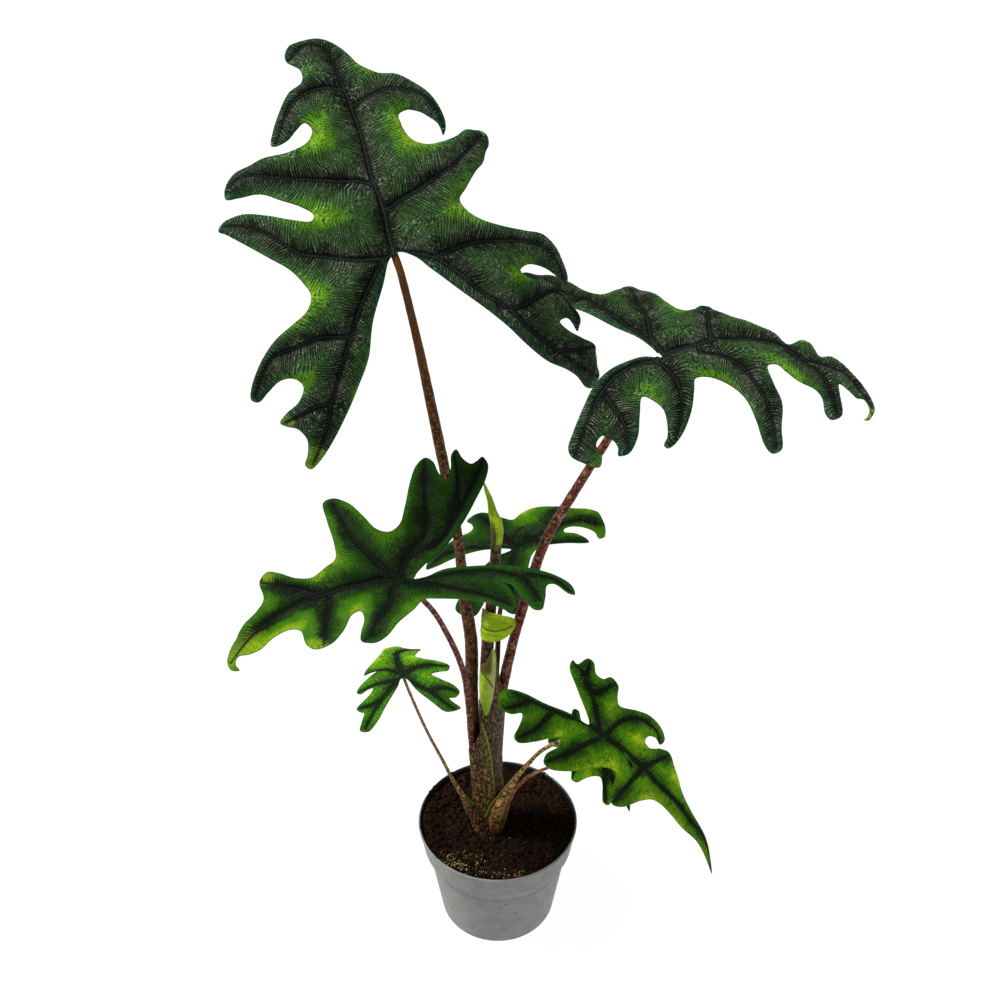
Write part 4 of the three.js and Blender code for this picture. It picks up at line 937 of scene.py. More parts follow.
def leaf_skin(name, tones, dark_zone, vivid_zone, inland, sunlit, streaks, shares, depth):
    """Leaf skin: dark beside the veins and brighter away from them, up to the bays between the
    lobes, with fine ridges from the veins to the margin. Zones are distances from a vein in mm.
    Inland holds the bright zone back away from the margin, and sunlit widens it towards the tip.
    The shares are those of the grooves' painted shade, the crests' painted highlight and the net of the
    finest veins."""
    material, tree, shader = new_finish(name, 0.46, 0.05)
    fields = {key: add(tree, "ShaderNodeAttribute", attribute_name=key, out=1)
              for key in ("veins", "ridges", "place")}
    vein, reach, strength = (
        add(tree, "ShaderNodeSeparateXYZ", {0: fields["veins"]}, out=i) for i in range(3))
    edge, sunny, ripe = (
        add(tree, "ShaderNodeSeparateXYZ", {0: fields["place"]}, out=i) for i in range(3))
    flow, clear = (add(tree, "ShaderNodeSeparateXYZ", {0: fields["ridges"]}, out=i) for i in (0, 2))
    where = add(tree, "ShaderNodeTexCoord", out=3)
    # The ridges run like the blade's own, twice as close, broken up by streaks that run the same way
    streak = add(tree, "ShaderNodeVectorMath", {0: fields["ridges"], 1: (0.95, 0.13, 0.0)},
                 operation="MULTIPLY")
    streak = add(tree, "ShaderNodeTexNoise",
                 {"Vector": streak, "Scale": 1.0, "Detail": 3.0, "Roughness": 0.6})
    wander = add(tree, "ShaderNodeTexNoise", {"Vector": where, "Scale": 230.0, "Detail": 2.0})
    phase = add(tree, "ShaderNodeMath", {0: flow, 1: math.tau / FINE_RIDGES}, operation="MULTIPLY")
    phase = add(tree, "ShaderNodeMath", {0: wander, 1: 7.0, 2: phase}, operation="MULTIPLY_ADD")
    wave = add(tree, "ShaderNodeMath", {0: phase}, operation="SINE")
    wave = add(tree, "ShaderNodeMath", {0: streak, 1: 6.4, 2: wave}, operation="MULTIPLY_ADD")
    wave = add(tree, "ShaderNodeMath", {0: wave, 1: 3.2}, operation="SUBTRACT")
    # Halfway between two veins, where the ridges meet, they break up into small bumps
    calm = add(tree, "ShaderNodeMapRange", {0: clear, 1: 0.8, 2: 3.5, 3: 0.0, 4: 1.0})
    bumps = add(tree, "ShaderNodeTexNoise",
                {"Vector": where, "Scale": 560.0, "Detail": 2.0, "Roughness": 0.6})
    bumps = add(tree, "ShaderNodeMapRange", {0: bumps, 1: 0.3, 2: 0.7, 3: -2.2, 4: 2.2})
    wave = add(tree, "ShaderNodeMix", {0: calm, 2: bumps, 3: wave}, data_type="FLOAT")
    pebble = add(tree, "ShaderNodeTexNoise",
                 {"Vector": where, "Scale": 620.0, "Detail": 3.0, "Roughness": 0.6})
    relief = add(tree, "ShaderNodeMath", {0: pebble, 1: 3.0, 2: wave}, operation="MULTIPLY_ADD")
    # The zones beside the veins have soft, streaky borders
    cloud = add(tree, "ShaderNodeTexNoise", {"Vector": where, "Scale": 70.0, "Detail": 4.0})
    sway = add(tree, "ShaderNodeMath", {0: cloud, 1: 14.0, 2: reach}, operation="MULTIPLY_ADD")
    sway = add(tree, "ShaderNodeMath", {0: wave, 1: streaks, 2: sway}, operation="MULTIPLY_ADD")
    sway = add(tree, "ShaderNodeMath", {0: sway, 1: 7.0}, operation="SUBTRACT")
    haze = add(tree, "ShaderNodeTexNoise", {"Vector": where, "Scale": 48.0, "Detail": 3.0})
    dark = coat(tree, linear(tones["dark"]), tones["haze"], haze, 0.46, 0.66, 0.8)
    colour = coat(tree, dark, tones["mid"], sway, *dark_zone)
    colour = coat(tree, colour, tones["edge"], edge, 6.0, 0.5, tones["edge_share"])
    bright = add(tree, "ShaderNodeMath", {0: edge, 1: -inland, 2: sway}, operation="MULTIPLY_ADD")
    bright = add(tree, "ShaderNodeMath", {0: sunny, 1: sunlit, 2: bright}, operation="MULTIPLY_ADD")
    colour = coat(tree, colour, tones["vivid"], bright, *vivid_zone)
    colour = coat(tree, colour, tones["bright"], bright, vivid_zone[1], vivid_zone[1] * 1.6, 0.9)
    ripe = add(tree, "ShaderNodeMath", {0: wave, 1: 0.12, 2: ripe}, operation="MULTIPLY_ADD")
    colour = coat(tree, colour, tones["bright"], ripe, 0.3, 1.3, 0.7)
    net = add(tree, "ShaderNodeTexVoronoi", {"Vector": where, "Scale": 210.0}, feature="DISTANCE_TO_EDGE")
    net = add(tree, "ShaderNodeMath", {0: cloud, 1: 0.2, 2: net}, operation="MULTIPLY_ADD")
    colour = coat(tree, colour, tones["groove"], net, 0.2, 0.1, shares[2])
    # Painted shade darkens the grooves between the fine ridges and painted highlight lightens their crests
    colour = coat(tree, colour, tones["groove"], relief, 1.0, 0.3, shares[0])
    colour = coat(tree, colour, tones["crest"], relief, 1.8, 3.1, shares[1])
    # Painted glints: pale specks of light, most where the ridges and the haze are high
    glint = add(tree, "ShaderNodeTexNoise", {"Vector": where, "Scale": 1400.0, "Detail": 1.0})
    glint = add(tree, "ShaderNodeMath", {0: relief, 1: 0.06, 2: glint}, operation="MULTIPLY_ADD")
    glint = add(tree, "ShaderNodeMath", {0: haze, 1: 0.35, 2: glint}, operation="MULTIPLY_ADD")
    colour = coat(tree, colour, tones["glint"], glint, 0.9, 1.12, tones["glint_share"])
    beside = add(tree, "ShaderNodeMath", {0: strength, 1: -2.2, 2: vein}, operation="MULTIPLY_ADD")
    colour = coat(tree, colour, tones["vein"], beside, 0.9, -0.5, 0.85)
    core = add(tree, "ShaderNodeMath", {0: strength, 1: -0.75, 2: vein}, operation="MULTIPLY_ADD")
    colour = coat(tree, colour, tones["core"], core, 0.12, -0.25, 0.7)
    colour = coat(tree, colour, tones["margin"], edge, 0.7, 0.2, 0.6)
    scar = add(tree, "ShaderNodeAttribute", attribute_name="scar", out=2)
    scar = add(tree, "ShaderNodeMath", {0: pebble, 1: 1.6, 2: scar}, operation="MULTIPLY_ADD")
    colour = coat(tree, colour, "#1e0f06", scar, 1.2, 1.7, 0.9)
    below = coat(tree, linear(tones["below"]), tones["rib"], vein, 2.2, 0.5)
    under = add(tree, "ShaderNodeAttribute", attribute_name="under", out=2)
    colour = add(tree, "ShaderNodeMix", {0: under, 6: colour, 7: below}, out=2, data_type="RGBA")
    dress(tree, shader, colour, relief, depth)
    return material


# Old leaves look velvety, with painted glints and painted highlights on fine grey-green ridges and painted
# shade in the grooves between them. Young ones have a satin gloss and only faint ridges, with fainter
# painted glints. The finest bumps are drawn coarser than real, so that they show.
velvet = leaf_skin("velvety leaf skin", {
    "dark": "#141a11", "haze": "#3c4235", "mid": "#2c4a22", "vivid": "#4a7d12", "bright": "#86b420",
    "edge": "#1c4a30", "edge_share": 0.6, "groove": "#0b110a", "crest": "#667656", "glint": "#c6ccb4",
    "glint_share": 0.55, "vein": "#070a08", "core": "#27322c", "margin": "#35492c", "below": "#6d7d3c",
    "rib": "#8f8752"}, (2.0, 11.0), (7.0, 14.0), 0.55, 0.0, 1.2, (0.6, 0.4, 0.0), 0.28)
satin = leaf_skin("satin leaf skin", {
    "dark": "#0c130a", "haze": "#1a2615", "mid": "#183608", "vivid": "#37640a", "bright": "#86a614",
    "edge": "#1f520c", "edge_share": 0.5, "groove": "#0b1f07", "crest": "#44721a", "glint": "#7f9c54",
    "glint_share": 0.12, "vein": "#070b07", "core": "#111811", "margin": "#123d16", "below": "#6c9040",
    "rib": "#93a854"}, (1.0, 9.5), (9.0, 17.0), 0.25, 9.0, 0.5, (0.25, 0.12, 0.15), 0.11)
fresh_satin = leaf_skin("fresh satin leaf skin", {
    "dark": "#131e0e", "haze": "#26371a", "mid": "#34660e", "vivid": "#5c920a", "bright": "#a8ca1e",
    "edge": "#30700f", "edge_share": 0.5, "groove": "#143806", "crest": "#74a022", "glint": "#8fac54",
    "glint_share": 0.12, "vein": "#0a110a", "core": "#182118", "margin": "#184c1c", "below": "#6c9040",
    "rib": "#93a854"}, (0.3, 5.0), (3.5, 10.0), 0.1, 3.0, 0.6, (0.35, 0.2, 0.5), 0.11)
# Each leaf's skin, slot and how much finer its zones are than a full-grown leaf's
LEAF_LOOKS = {
    "a": (velvet, "old_leaf", 1.0), "b": (velvet, "old_leaf", 0.92), "c": (satin, "young_leaf", 1.0),
    "d": (satin, "young_leaf", 0.85), "e": (fresh_satin, "young_leaf", 1.1),
    "f": (fresh_satin, "young_leaf", 1.0), "g": (fresh_satin, "young_leaf", 1.2)}
for name, leaf in LEAVES.items():
    leaf_blade(name, leaf)

# Leaf stalks: round, juicy and smooth. The tall ones are brown with dark mottles and stand in
# the wrapped stem, and the short ones are tan with dark cross dashes and stand in the peat. Each
# ends just under its blade. Stations are x, y, z and diameter in mm, from the foot up.
SOCKET_FLOOR = 128
STALKS = {
    "a": [
        (-13, 3, SOCKET_FLOOR, 9.6), (-14.5, 3, 149, 9.6), (-18.2, 3, 209, 9.2), (-18.2, 3, 265, 8.9),
        (-21.9, 3, 300, 8.1), (-26.2, 2, 358, 6.5), (-36.4, 1, 429, 6.8), (-48.6, -1, 509, 5),
        (-55.4, -1.5, 545, 4.5)],
    "b": [
        (-1, 4.5, SOCKET_FLOOR, 8.1), (-1, 4.5, 148, 8.1), (1.7, 4, 208, 7.8), (4.5, 4, 227, 7.7),
        (11, 4, 264, 6.8), (18.5, 2, 301, 7.2), (31.4, -4, 356, 6.5), (43.4, -8, 386, 6.2),
        (66.3, -17, 440, 5.4), (90, -23.5, 492, 4.8)],
    "c": [
        (-16, -6, SOCKET_FLOOR, 5), (-16.5, -6, 145, 5), (-18.6, -6.4, 179, 5), (-19.8, -8, 209, 4.9),
        (-22.2, -13, 244, 4.6), (-25, -19.5, 264, 4.2), (-28.5, -27.5, 284, 4), (-33, -36.5, 305, 3.8),
        (-38.4, -47.5, 328.5, 3.5), (-45.4, -58.5, 349.5, 3.4), (-55, -71, 371, 3.2)],
    "d": [
        (-6.5, 12, SOCKET_FLOOR, 4.5), (-5.7, 12, 145, 4.5), (-1.9, 12, 181, 4.4), (-1.2, 16, 216, 4.2),
        (-0.2, 23, 231, 3.9), (0.3, 30, 242, 3.9), (1, 40, 252, 3.6), (2.4, 48, 259, 3.2),
        (4.4, 60, 272, 2.7), (9.5, 67.5, 287, 2.5)],
    "e": [
        (-14, -2, SOIL_HEIGHT, 6.4), (-17, -3, 93, 6.4), (-21.5, -5, 104, 5.6), (-24.3, -8, 119, 4.6),
        (-29.1, -11, 135, 3.4), (-33.8, -14, 150, 2.6), (-38.4, -18, 168, 2.4), (-48.4, -26, 205, 2.1),
        (-56.4, -34, 241, 2), (-61, -39, 264, 2)],
    "f": [
        (-3.6, -6, SOIL_HEIGHT - 1, 9), (-2.5, -8, 95, 10), (-1.3, -9.5, 104, 10.2), (1.7, -12, 119, 9.4),
        (6.1, -15, 134, 7), (10.4, -18, 147, 5.1), (16, -21, 161, 3.8), (23, -24, 175, 3.2),
        (29.8, -27, 188, 2.8), (43.3, -32, 203, 2.8), (56.6, -38, 212, 2.7), (66, -42.5, 218, 2.7)],
    "g": [
        (4, 2, SOIL_HEIGHT, 4.6), (5.4, 1, 95, 4.6), (7.7, -3, 112, 4.5), (11.3, -7, 127, 3.7),
        (16.3, -10, 138, 2.9), (22, -13, 148, 2.9), (29.1, -16, 157, 2.4), (36, -18, 163, 2.2),
        (51, -20, 174, 2.2), (64, -21.5, 183, 2.2)],
    "h": [
        (-6, -5, SOCKET_FLOOR, 9.4), (-7, -5, 157, 9.4), (-8.2, -4, 216, 9.2), (-6.5, -3, 270, 8.6),
        (-4.3, -2, 300, 7.4), (-1.6, -2, 335, 7.2), (-0.6, -2, 352, 7.1)],
}


def mottled_skin(name, ground, blots, under, over):
    """Waxy stalk skin: a ground tone under blots, each a tone, its size across and along the stalk
    in mm, the noise levels where it starts and is full, and its strength. The piece's own values
    say where the named tints lie, some under the blots and some over them with their strength."""
    material, tree, shader = new_finish(name, 0.45, 0.08)
    skin = add(tree, "ShaderNodeAttribute", attribute_name="skin", out=1)
    colour = linear(ground)
    for key, tone in under.items():
        share = add(tree, "ShaderNodeAttribute", attribute_name=key, out=2)
        colour = coat(tree, colour, tone, share, 0.0, 1.0)
    for tone, across, along, start, full, most in blots:
        stretch = (1 / across, 1 / across, 1 / along)
        place = add(tree, "ShaderNodeMapping", {0: skin, 1: (7.3 * across, 0, 0), 3: stretch})
        blot = add(tree, "ShaderNodeTexNoise",
                   {"Vector": place, "Scale": 1.0, "Detail": 3.0, "Roughness": 0.55})
        colour = coat(tree, colour, tone, blot, start, full, most)
    for key, (tone, most) in over.items():
        share = add(tree, "ShaderNodeAttribute", attribute_name=key, out=2)
        colour = coat(tree, colour, tone, share, 0.0, 1.0, most)
    ribs = add(tree, "ShaderNodeTexNoise", {"Vector": skin, "Scale": 0.9, "Detail": 4.0})
    dress(tree, shader, colour, ribs, 0.3)
    return material


# The tint named shade is painted shade: it darkens the stalks, most towards their feet
SHADE = {"shade": ("#1a110a", 0.8)}
tall_skin = mottled_skin("brown mottled stalk skin", "#54341c", [
    ("#6e4a28", 8, 16, 0.45, 0.6, 0.7), ("#1e0f08", 3.0, 3.6, 0.48, 0.55, 0.9),
    ("#8e6a3e", 2.0, 2.4, 0.57, 0.63, 0.8)], {}, {"bare": ("#54300f", 0.75)} | SHADE)
red_skin = mottled_skin("reddish mottled stalk skin", "#663224", [
    ("#2a120c", 3.4, 2.8, 0.47, 0.54, 0.85), ("#9e7460", 2.7, 3.0, 0.55, 0.62, 0.7)], {}, SHADE)
dark_skin = mottled_skin("dark mottled stalk skin", "#41261a", [
    ("#1b0f0a", 3.2, 2.8, 0.48, 0.54, 0.85), ("#866447", 2.6, 2.4, 0.58, 0.64, 0.7)],
    {"fresh": "#6f8c14"}, SHADE)
tan_skin = mottled_skin("tan dashed stalk skin", "#9c7848", [
    ("#c09c66", 3.0, 5.0, 0.5, 0.6, 0.6), ("#33200f", 3.2, 1.5, 0.47, 0.52, 0.9)], {"red": "#74582c"},
    {"red": ("#6a3018", 0.35)} | SHADE)
pink_skin = mottled_skin("pinkish dashed stalk skin", "#8c5c44", [
    ("#ae866a", 3.0, 5.0, 0.5, 0.6, 0.6), ("#451f16", 3.0, 1.3, 0.51, 0.56, 0.85)], {}, SHADE)

# One tree grows every stalk: it turns a line of points into a path, sweeps a ring along it
# at each point's girth, stores the skin's own coordinates in mm and lets it bulge a little.
grow, grow_sockets, given = new_tree("grown stalk", "Line", {
    "Sides": "Int", "Bulge": "Float", "Finish": "Material"}, "Stalk")
radius = add(grow, "GeometryNodeInputNamedAttribute", {"Name": "girth"}, data_type="FLOAT")
path = add(grow, "GeometryNodeMeshToCurve", {0: given["Line"]})
ring = add(grow, "GeometryNodeCurvePrimitiveCircle", {"Resolution": given["Sides"], "Radius": 1.0})
around = add(grow, "GeometryNodeInputPosition")
ring = add(grow, "GeometryNodeStoreNamedAttribute", {"Geometry": ring, "Name": "around", "Value": around},
           data_type="FLOAT_VECTOR", domain="POINT")
stalk = add(grow, "GeometryNodeCurveToMesh",
            {"Curve": path, "Profile Curve": ring, "Scale": radius, "Fill Caps": True})
around = add(grow, "GeometryNodeInputNamedAttribute", {"Name": "around"}, data_type="FLOAT_VECTOR")
length = add(grow, "GeometryNodeInputNamedAttribute", {"Name": "length"}, data_type="FLOAT")
around = add(grow, "ShaderNodeVectorMath", {0: around, "Scale": radius}, operation="SCALE")
around = add(grow, "ShaderNodeVectorMath", {0: around, "Scale": 1 / MM}, operation="SCALE")
skin = add(grow, "ShaderNodeCombineXYZ", {2: length})
skin = add(grow, "ShaderNodeVectorMath", {0: around, 1: skin}, operation="ADD")
stalk = add(grow, "GeometryNodeStoreNamedAttribute", {"Geometry": stalk, "Name": "skin", "Value": skin},
            data_type="FLOAT_VECTOR", domain="POINT")
bulge = add(grow, "ShaderNodeTexNoise", {"Vector": skin, "Scale": 0.16, "Detail": 1.0})
bulge = add(grow, "ShaderNodeMath", {0: bulge, 1: 0.5}, operation="SUBTRACT")
bulge = add(grow, "ShaderNodeMath", {0: bulge, 1: given["Bulge"]}, operation="MULTIPLY")
outwards = add(grow, "ShaderNodeVectorMath", {0: add(grow, "GeometryNodeInputNormal"), "Scale": bulge},
               operation="SCALE")
stalk = add(grow, "GeometryNodeSetPosition", {"Geometry": stalk, "Offset": outwards})
stalk = add(grow, "GeometryNodeSetShadeSmooth", {"Geometry": stalk})
stalk = add(grow, "GeometryNodeRealizeInstances", {0: stalk})
stalk = add(grow, "GeometryNodeSetMaterial", {"Geometry": stalk, "Material": given["Finish"]})
grow.links.new(stalk, grow.nodes.new("NodeGroupOutput").inputs[0])


STALK_SIDES = 28
STALK_BULGE = 0.5
STALK_STEP = 1.8


def grown(name, stations, material, slot, node, tints):
    """A stalk through its stations, with mottles of its own because its length is counted from
    the last letter of its name. Each tint gives pairs of a height and its strength there."""
    line = smooth_path(stations, STALK_STEP)
    mesh = bpy.data.meshes.new(name)
    mesh.from_pydata((line[:, :3] * MM).tolist(), [(i, i + 1) for i in range(len(line) - 1)], [])
    steps = np.linalg.norm(np.diff(line[:, :3], axis=0), axis=1)
    store(mesh, "girth", line[:, 3] / 2 * MM)
    store(mesh, "length", np.concatenate([[0], np.cumsum(steps)]) + 31 * ord(name[-1]))
    for key, pairs in tints.items():
        store(mesh, key, np.interp(line[:, 2], *zip(*pairs)))
    values = {"Sides": STALK_SIDES, "Bulge": STALK_BULGE * MM, "Finish": material}
    obj = run_tree(name, mesh, grow, grow_sockets, values)
    declare(obj, slot, node)
    return obj


# Each stalk's skin and the heights of its tints; shade there is painted shade
STALK_LOOKS = {
    "a": (tall_skin, {"shade": [(150, 0.5), (300, 0.35), (380, 0)], "bare": [(400, 0), (500, 1)]}),
    "b": (red_skin, {"shade": [(150, 0.3), (260, 0)]}),
    "c": (red_skin, {"shade": [(150, 0.3), (230, 0)]}),
    "d": (dark_skin, {"shade": [(150, 0.6), (280, 0.3)]}),
    "e": (tan_skin, {"red": [(84, 0.9), (104, 0.6), (120, 0)]}),
    "f": (tan_skin, {"red": [(84, 1), (104, 0.7), (125, 0)], "shade": [(82, 0.4), (90, 0)]}),
    "g": (pink_skin, {}),
    "h": (dark_skin, {"shade": [(150, 0.4), (300, 0.2), (330, 0)], "fresh": [(335, 0), (352, 0.4)]})}
for name, stations in STALKS.items():
    if name != "h":
        leaf = LEAVES[name]
        joint = (np.array([0.0]), np.array([4.0]))
        sunk = RELIEF[leaf["kind"]]["valley"] * VEIN_LEVEL + 1.1 + 0.45 * stations[-1][3]
        end = on_blade(leaf["pose"], *joint)[0] - blade_normals(leaf["pose"], *joint)[0] * sunk
        stations = stations + [(*end, stations[-1][3])]
    skin, tints = STALK_LOOKS[name]
    slot = "pale_stalk" if name in "efg" else "mottled_stalk"
    grown(f"stalk_skin_{name}", stations, skin, slot, f"stalk_{name}", tints)

# Stem: the short woody corm, which stands in the planting hole, and the stalk feet that wrap
# round each other above it, grown together in one brown column with rows of tan spots.
STEM_FOOT = 62
STEM_TOP = 192
STEM_SIDES = 120
# The corm's radius at some heights. It tapers off inside the stalk feet.
CORM = [(62, 10.5), (64, 12.4), (68, 13.2), (88, 13.2), (96, 12.6), (128, 11.6), (150, 8), (192, 2)]


def girths(names, z, extra):
    """The cross-sections of stalks at a height, as x, y and radius with some extra."""
    rings = []
    for name in names:
        line = np.array(STALKS[name], float)
        x, y, diameter = (np.interp(z, line[:, 2], line[:, i]) for i in (0, 1, 3))
        rings.append((x, y, diameter / 2 + extra))
    return np.array(rings)


def wrapped_reach(rings, centre, angles):
    """How far a skin stretched round some rings stands from a centre inside them."""
    turns = np.arange(240) * math.tau / 240
    facing = np.array([np.cos(turns), np.sin(turns)])
    support = ((rings[:, :2] - centre) @ facing + rings[:, 2:]).max(0)
    lean = np.cos(np.asarray(angles)[:, None] - turns)
    return np.where(lean > 0.05, support / np.maximum(lean, 0.05), 1e9).min(1)


# The old feet are dull and corky, dark brown with tan spots. Fresh wraps are green, with a pale
# margin.
stem_skin = mottled_skin("wrapped stem skin", "#2a1e12", [
    ("#42351e", 6, 14, 0.45, 0.62, 0.7), ("#84663c", 1.7, 3.2, 0.49, 0.58, 0.8),
    ("#140d07", 2.2, 1.3, 0.52, 0.58, 0.8)], {"fresh": "#4c5420"}, {"pale": ("#868848", 0.75)} | SHADE)
turns = np.arange(STEM_SIDES) * math.tau / STEM_SIDES
stem_points, stem_marks = [(STEM_X, STEM_Y, STEM_FOOT)], [(0, 0, STEM_FOOT)]
levels = np.arange(STEM_FOOT, STEM_TOP + 1, 1.0)
for z in levels:
    corm = np.interp(z, *zip(*CORM))
    grown_in = float(fade(z, 90, 116))
    feet = girths("abcdh", z, 0.6 - 4 * (1 - grown_in))
    middle = feet[[0, 1, 4], :2].mean(0)
    centre = np.array([STEM_X, STEM_Y]) + (middle - (STEM_X, STEM_Y)) * float(fade(z, 110, 160))
    rings = np.vstack([feet, [(STEM_X, STEM_Y, corm)]]) if z > 90 else np.array([(STEM_X, STEM_Y, corm)])
    reach = wrapped_reach(rings, centre, turns) * (1 - 0.8 * float(fade(z, 148, 192)))
    for angle, far in zip(turns, reach):
        x, y = far * math.cos(angle), far * math.sin(angle)
        stem_points.append((centre[0] + x, centre[1] + y, z + 0.3 * noise.noise(Vector((x, y, z)) * 0.3)))
        stem_marks.append((x, y, z))
stem_points.append((*centre, STEM_TOP + 0.5))
stem_marks.append((0, 0, STEM_TOP))
stem_faces = ringed_faces(len(levels), STEM_SIDES)
stem = make_piece("stem_column", stem_points, stem_faces, stem_skin, {"skin": stem_marks})
declare(stem, "stem", "stem_base")

# Sheath wraps: the thin green wings of the stalk feet, folded round the column. Stalk b's
# crosses the front from the right, and stalk a's from the left lies over it lower down.


def closed_sheet(outer, inner):
    """Points and faces of a thin sheet between two grids of points."""
    rows, columns = outer.shape[:2]
    grid = np.arange(rows * columns).reshape(rows, columns)
    faces = []
    for i in range(rows - 1):
        for j in range(columns - 1):
            a, b, c, d = grid[i, j], grid[i, j + 1], grid[i + 1, j + 1], grid[i + 1, j]
            faces += [(a, b, c, d), tuple(grid.size + k for k in (d, c, b, a))]
    loop = np.concatenate([grid[0, :-1], grid[:-1, -1], grid[-1, :0:-1], grid[:0:-1, 0]])
    for a, b in zip(loop, np.roll(loop, -1)):
        faces.append((b, a, a + grid.size, b + grid.size))
    return np.vstack([outer.reshape(-1, 3), inner.reshape(-1, 3)]), [tuple(map(int, f)) for f in faces]


def sheath_wrap(name, group, margin, foot, back_angle, drop, stand):
    """A sheath round a group of stalks, from its free margin in front, given as pairs of a height
    and an x, to an angle behind. Its top edge falls by drop from the margin's pointed end."""
    rows, columns = 90, 26
    tip = margin[-1][0]
    outer, inner = np.zeros((rows, columns, 3)), np.zeros((rows, columns, 3))
    skin, share = np.zeros((rows, columns, 3)), np.zeros((rows, columns))
    front = np.linspace(math.pi, math.tau, 121)
    for i in range(rows):
        for j in range(columns):
            s = (j / (columns - 1)) ** 1.6
            z = foot + (tip - drop * s ** 0.6 - foot) * i / (rows - 1)
            rings = girths(group, z, 0.0)
            centre = rings[:, :2].mean(0)
            ahead = wrapped_reach(rings, centre, front)
            x = np.interp(z, *zip(*margin))
            start = np.interp(x, centre[0] + ahead * np.cos(front), front)
            angle = start + (back_angle - start) * s
            reach = wrapped_reach(rings, centre, [angle])[0] + stand
            facing = np.array([math.cos(angle), math.sin(angle)])
            flare = 0.5 * math.exp(-s * 12)
            outer[i, j] = (*(centre + facing * (reach + 0.22 + flare)), z)
            inner[i, j] = (*(centre + facing * (reach + flare)), z)
            skin[i, j] = (*(facing * reach), z)
            share[i, j] = abs(angle - start) * reach
    points, faces = closed_sheet(outer, inner)
    far = np.tile(share.ravel(), 2)
    marks = {"skin": np.tile(skin.reshape(-1, 3), (2, 1)), "fresh": 0.75 * (1 - fade(far, 1, 7)),
             "pale": 1 - fade(far, 0.4, 1.0)}
    declare(make_piece(name, points, faces, stem_skin, marks), "stem")


MARGIN_B = [(98, -13), (203, -12.4), (230, -8), (253, -3.8), (271, -0.3)]
MARGIN_A = [(96, -2.2), (121, -2.7), (142, -3.4), (168, -5.5), (187, -8.3), (204, -12.4)]
sheath_wrap("sheath_wrap_b", "bh", MARGIN_B, 98, math.tau + 0.9, 62, 0.15)
sheath_wrap("sheath_wrap_a", "ach", MARGIN_A, 96, math.pi - 0.9, 46, 0.45)

# Foot wings: the free green margins of the two short stalks in front, thin skins that stand
# off the stalk's side and run out towards its top.


def foot_wing(name, stalk, side, heights, width):
    """A wing on one side of a stalk's foot, widest a third of the way up."""
    rows, columns = 40, 6
    outer, inner = np.zeros((rows, columns, 3)), np.zeros((rows, columns, 3))
    share = np.zeros((rows, columns))
    for i in range(rows):
        t = i / (rows - 1)
        z = heights[0] + (heights[1] - heights[0]) * t
        x, y, radius = girths(stalk, z, 0.0)[0]
        spread = width * math.sin(math.pi * min(1.0, 0.12 + 0.88 * t) ** 0.7)
        for j in range(columns):
            s = j / (columns - 1)
            far = radius * 0.7 + (radius * 0.3 + spread) * s
            outer[i, j] = (x + side * far, y - 0.35 - 0.6 * s, z)
            inner[i, j] = (x + side * far, y + 0.35 - 0.9 * s, z)
            share[i, j] = s
    points, faces = closed_sheet(outer, inner)
    far = np.tile(share.ravel(), 2)
    marks = {"skin": points, "fresh": 0.9 * fade(far, 0, 0.4), "pale": fade(far, 0.75, 1)}
    declare(make_piece(name, points, faces, stem_skin, marks), "stem")


foot_wing("foot_wing_f", "f", -1, (92, 145), 3.0)
foot_wing("foot_wing_e", "e", 1, (96, 132), 3.2)

# The newest leaf: its blade is still rolled up tight in a pale spear on the middle stalk,
# over the flap that it broke out of and the opened sheath, both thin and juicy.
# Its wax makes it glossy. It is yellow-green with pale streaks, and purple-brown where the stalk's colour
# runs into it. The same purple-brown coat also paints shade on the flap and the sheath and along their
# creases.
new_skin, tree, shader = new_finish("fresh new growth", 0.42, 0.1)
skin = add(tree, "ShaderNodeAttribute", attribute_name="skin", out=1)
streak = add(tree, "ShaderNodeMapping", {0: skin, 3: (0.3, 0.3, 0.05)})
tone = add(tree, "ShaderNodeTexNoise", {"Vector": streak, "Scale": 1.0, "Detail": 2.0})
colour = coat(tree, linear("#729004"), "#8eae09", tone, 0.4, 0.65)
pale = add(tree, "ShaderNodeTexNoise", {"Vector": skin, "Scale": 0.16, "Detail": 2.0})
colour = coat(tree, colour, "#a8c22e", pale, 0.5, 0.7, 0.7)
dull = add(tree, "ShaderNodeAttribute", attribute_name="dull", out=2)
colour = coat(tree, colour, "#b2b276", dull, 0.0, 1.0, 0.6)
# The purple-brown coat is the stalk's colour on the spear, and partly painted shade on the flap and the
# sheath
purple = add(tree, "ShaderNodeAttribute", attribute_name="purple", out=2)
colour = coat(tree, colour, "#3e2414", purple, 0.1, 1.0, 0.9)
dress(tree, shader, colour, tone, 0.25)
SPEAR = [
    (-0.6, -2, 352.3, 7.1), (-0.2, -2, 362, 8.4), (-0.9, -2, 369, 7.7), (-2.8, -2, 376, 5.8),
    (-4.7, -2, 386, 3.8), (-7.1, -2, 394, 2.5), (-8.4, -2, 399, 1)]
spear = grown("rolled_spear", SPEAR, new_skin, "new_growth", "spear", {})
# The stalk's brown runs up the left of the spear's foot and out along its back
spear_points = np.array([vertex.co for vertex in spear.data.vertices]) / MM
across = spear_points[:, 0] - np.interp(spear_points[:, 2], [352, 362, 376, 399], [-0.6, -0.2, -2.8, -8.4])
brown = (1 - fade(spear_points[:, 2], 358, 384)) * (1 - fade(across, -1.2, 0.8))
brown = np.maximum(brown, 0.9 * (1 - fade(spear_points[:, 2], 350, 356)))
store(spear.data, "purple", brown)

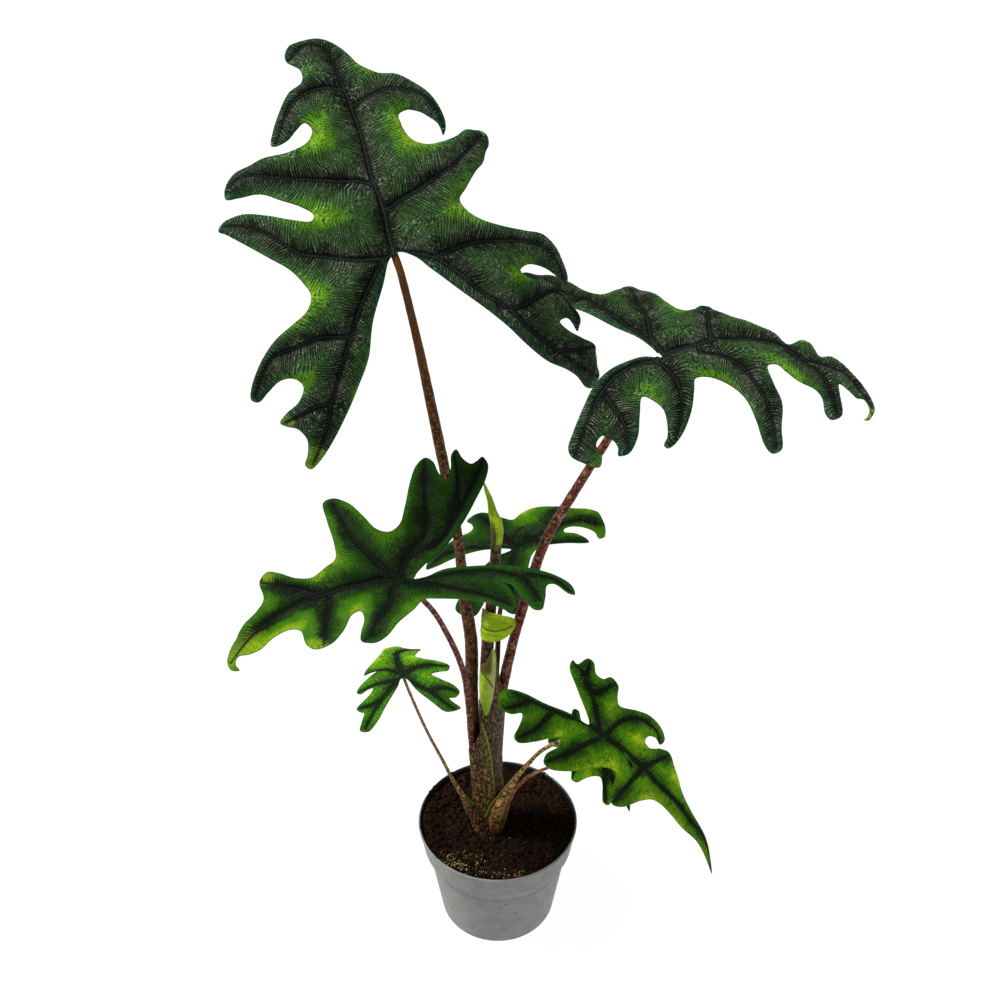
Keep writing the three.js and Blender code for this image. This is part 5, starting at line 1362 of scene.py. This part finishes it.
NEW_SHEETS = {
    "green_flap": {
        "node": "flap",
        "pose": dict(at=(-5.3, -7.85, 287), head=0, rise=0, roll=-88, spin=-4.2, arch=0.01, back=0.185,
                     fold_left=0, fold_right=0, droop_left=0, droop_right=0),
        "outline": [(12, -7), (14, 0), (12, 9), (6, 15), (0, 17.5), (-6, 16), (-9, 8), (-11, 0),
                    (-11.5, -7), (-6, -9.5), (4, -9.5)],
        "crease": [(2, -9), (4, -3), (4.5, 4), (3, 10), (0, 15)],
    },
    "open_sheath": {
        "node": "sheath",
        "pose": dict(at=(-8.2, -9.75, 206), head=90, rise=89, spin=-1.8, arch=0, back=0,
                     fold_left=0, fold_right=0, droop_left=0.17, droop_right=0.17),
        "outline": [(0, 0), (3, 8), (5.5, 18), (7, 30), (7.5, 42), (6, 54), (3, 61), (1, 56), (-1, 50),
                    (-5, 45), (-7, 36), (-6.5, 22), (-3.5, 9)],
        "crease": [(-6, 42), (-2, 37), (1, 33), (4, 26)],
    },
}
for name, sheet in NEW_SHEETS.items():
    flat, faces, edge = flat_mesh(smooth_path(sheet["outline"], 0.6, closed=True), [sheet["crease"]], 0.55)
    u, v = flat[:, 0], flat[:, 1]
    crease = to_line(flat, np.array(sheet["crease"], float))[0]
    thick = 0.16 + 0.24 * fade(edge, 0, 1.5)
    rise = 0.12 * np.sin(u * 1.1) - 0.35 * np.exp(-(crease / 1.1) ** 2)
    base, normals = on_blade(sheet["pose"], u, v), blade_normals(sheet["pose"], u, v)
    points = np.vstack([base + normals * (rise + thick)[:, None], base + normals * (rise - thick)[:, None]])
    # The flap is purple-brown at its foot and the sheath at its upper left, partly their own colour and
    # partly painted shade, and a dark line along each crease is painted shade in the fold. The sheath is
    # dull away from its middle.
    if name == "green_flap":
        shadow = 0.95 * (1 - fade(v + 0.45 * u, -11, 3))
        dull = np.zeros(len(flat))
    else:
        shadow = 0.9 * fade(v, 33, 42) * (1 - fade(u, 1, 6))
        dull = fade(np.abs(u + 1.5 - 0.6 * np.sin(v / 7)), 0.3, 5)
    purple = np.maximum(0.9 * np.exp(-(crease / 0.9) ** 2), shadow)
    marks = {"skin": np.tile(np.column_stack([u, 0 * u, v]), (2, 1)), "purple": np.tile(purple, 2),
             "dull": np.tile(dull, 2)}
    declare(make_piece(name, points, two_sided(faces, len(flat)), new_skin, marks), "new_growth",
            sheet["node"])

bpy.context.view_layer.update()
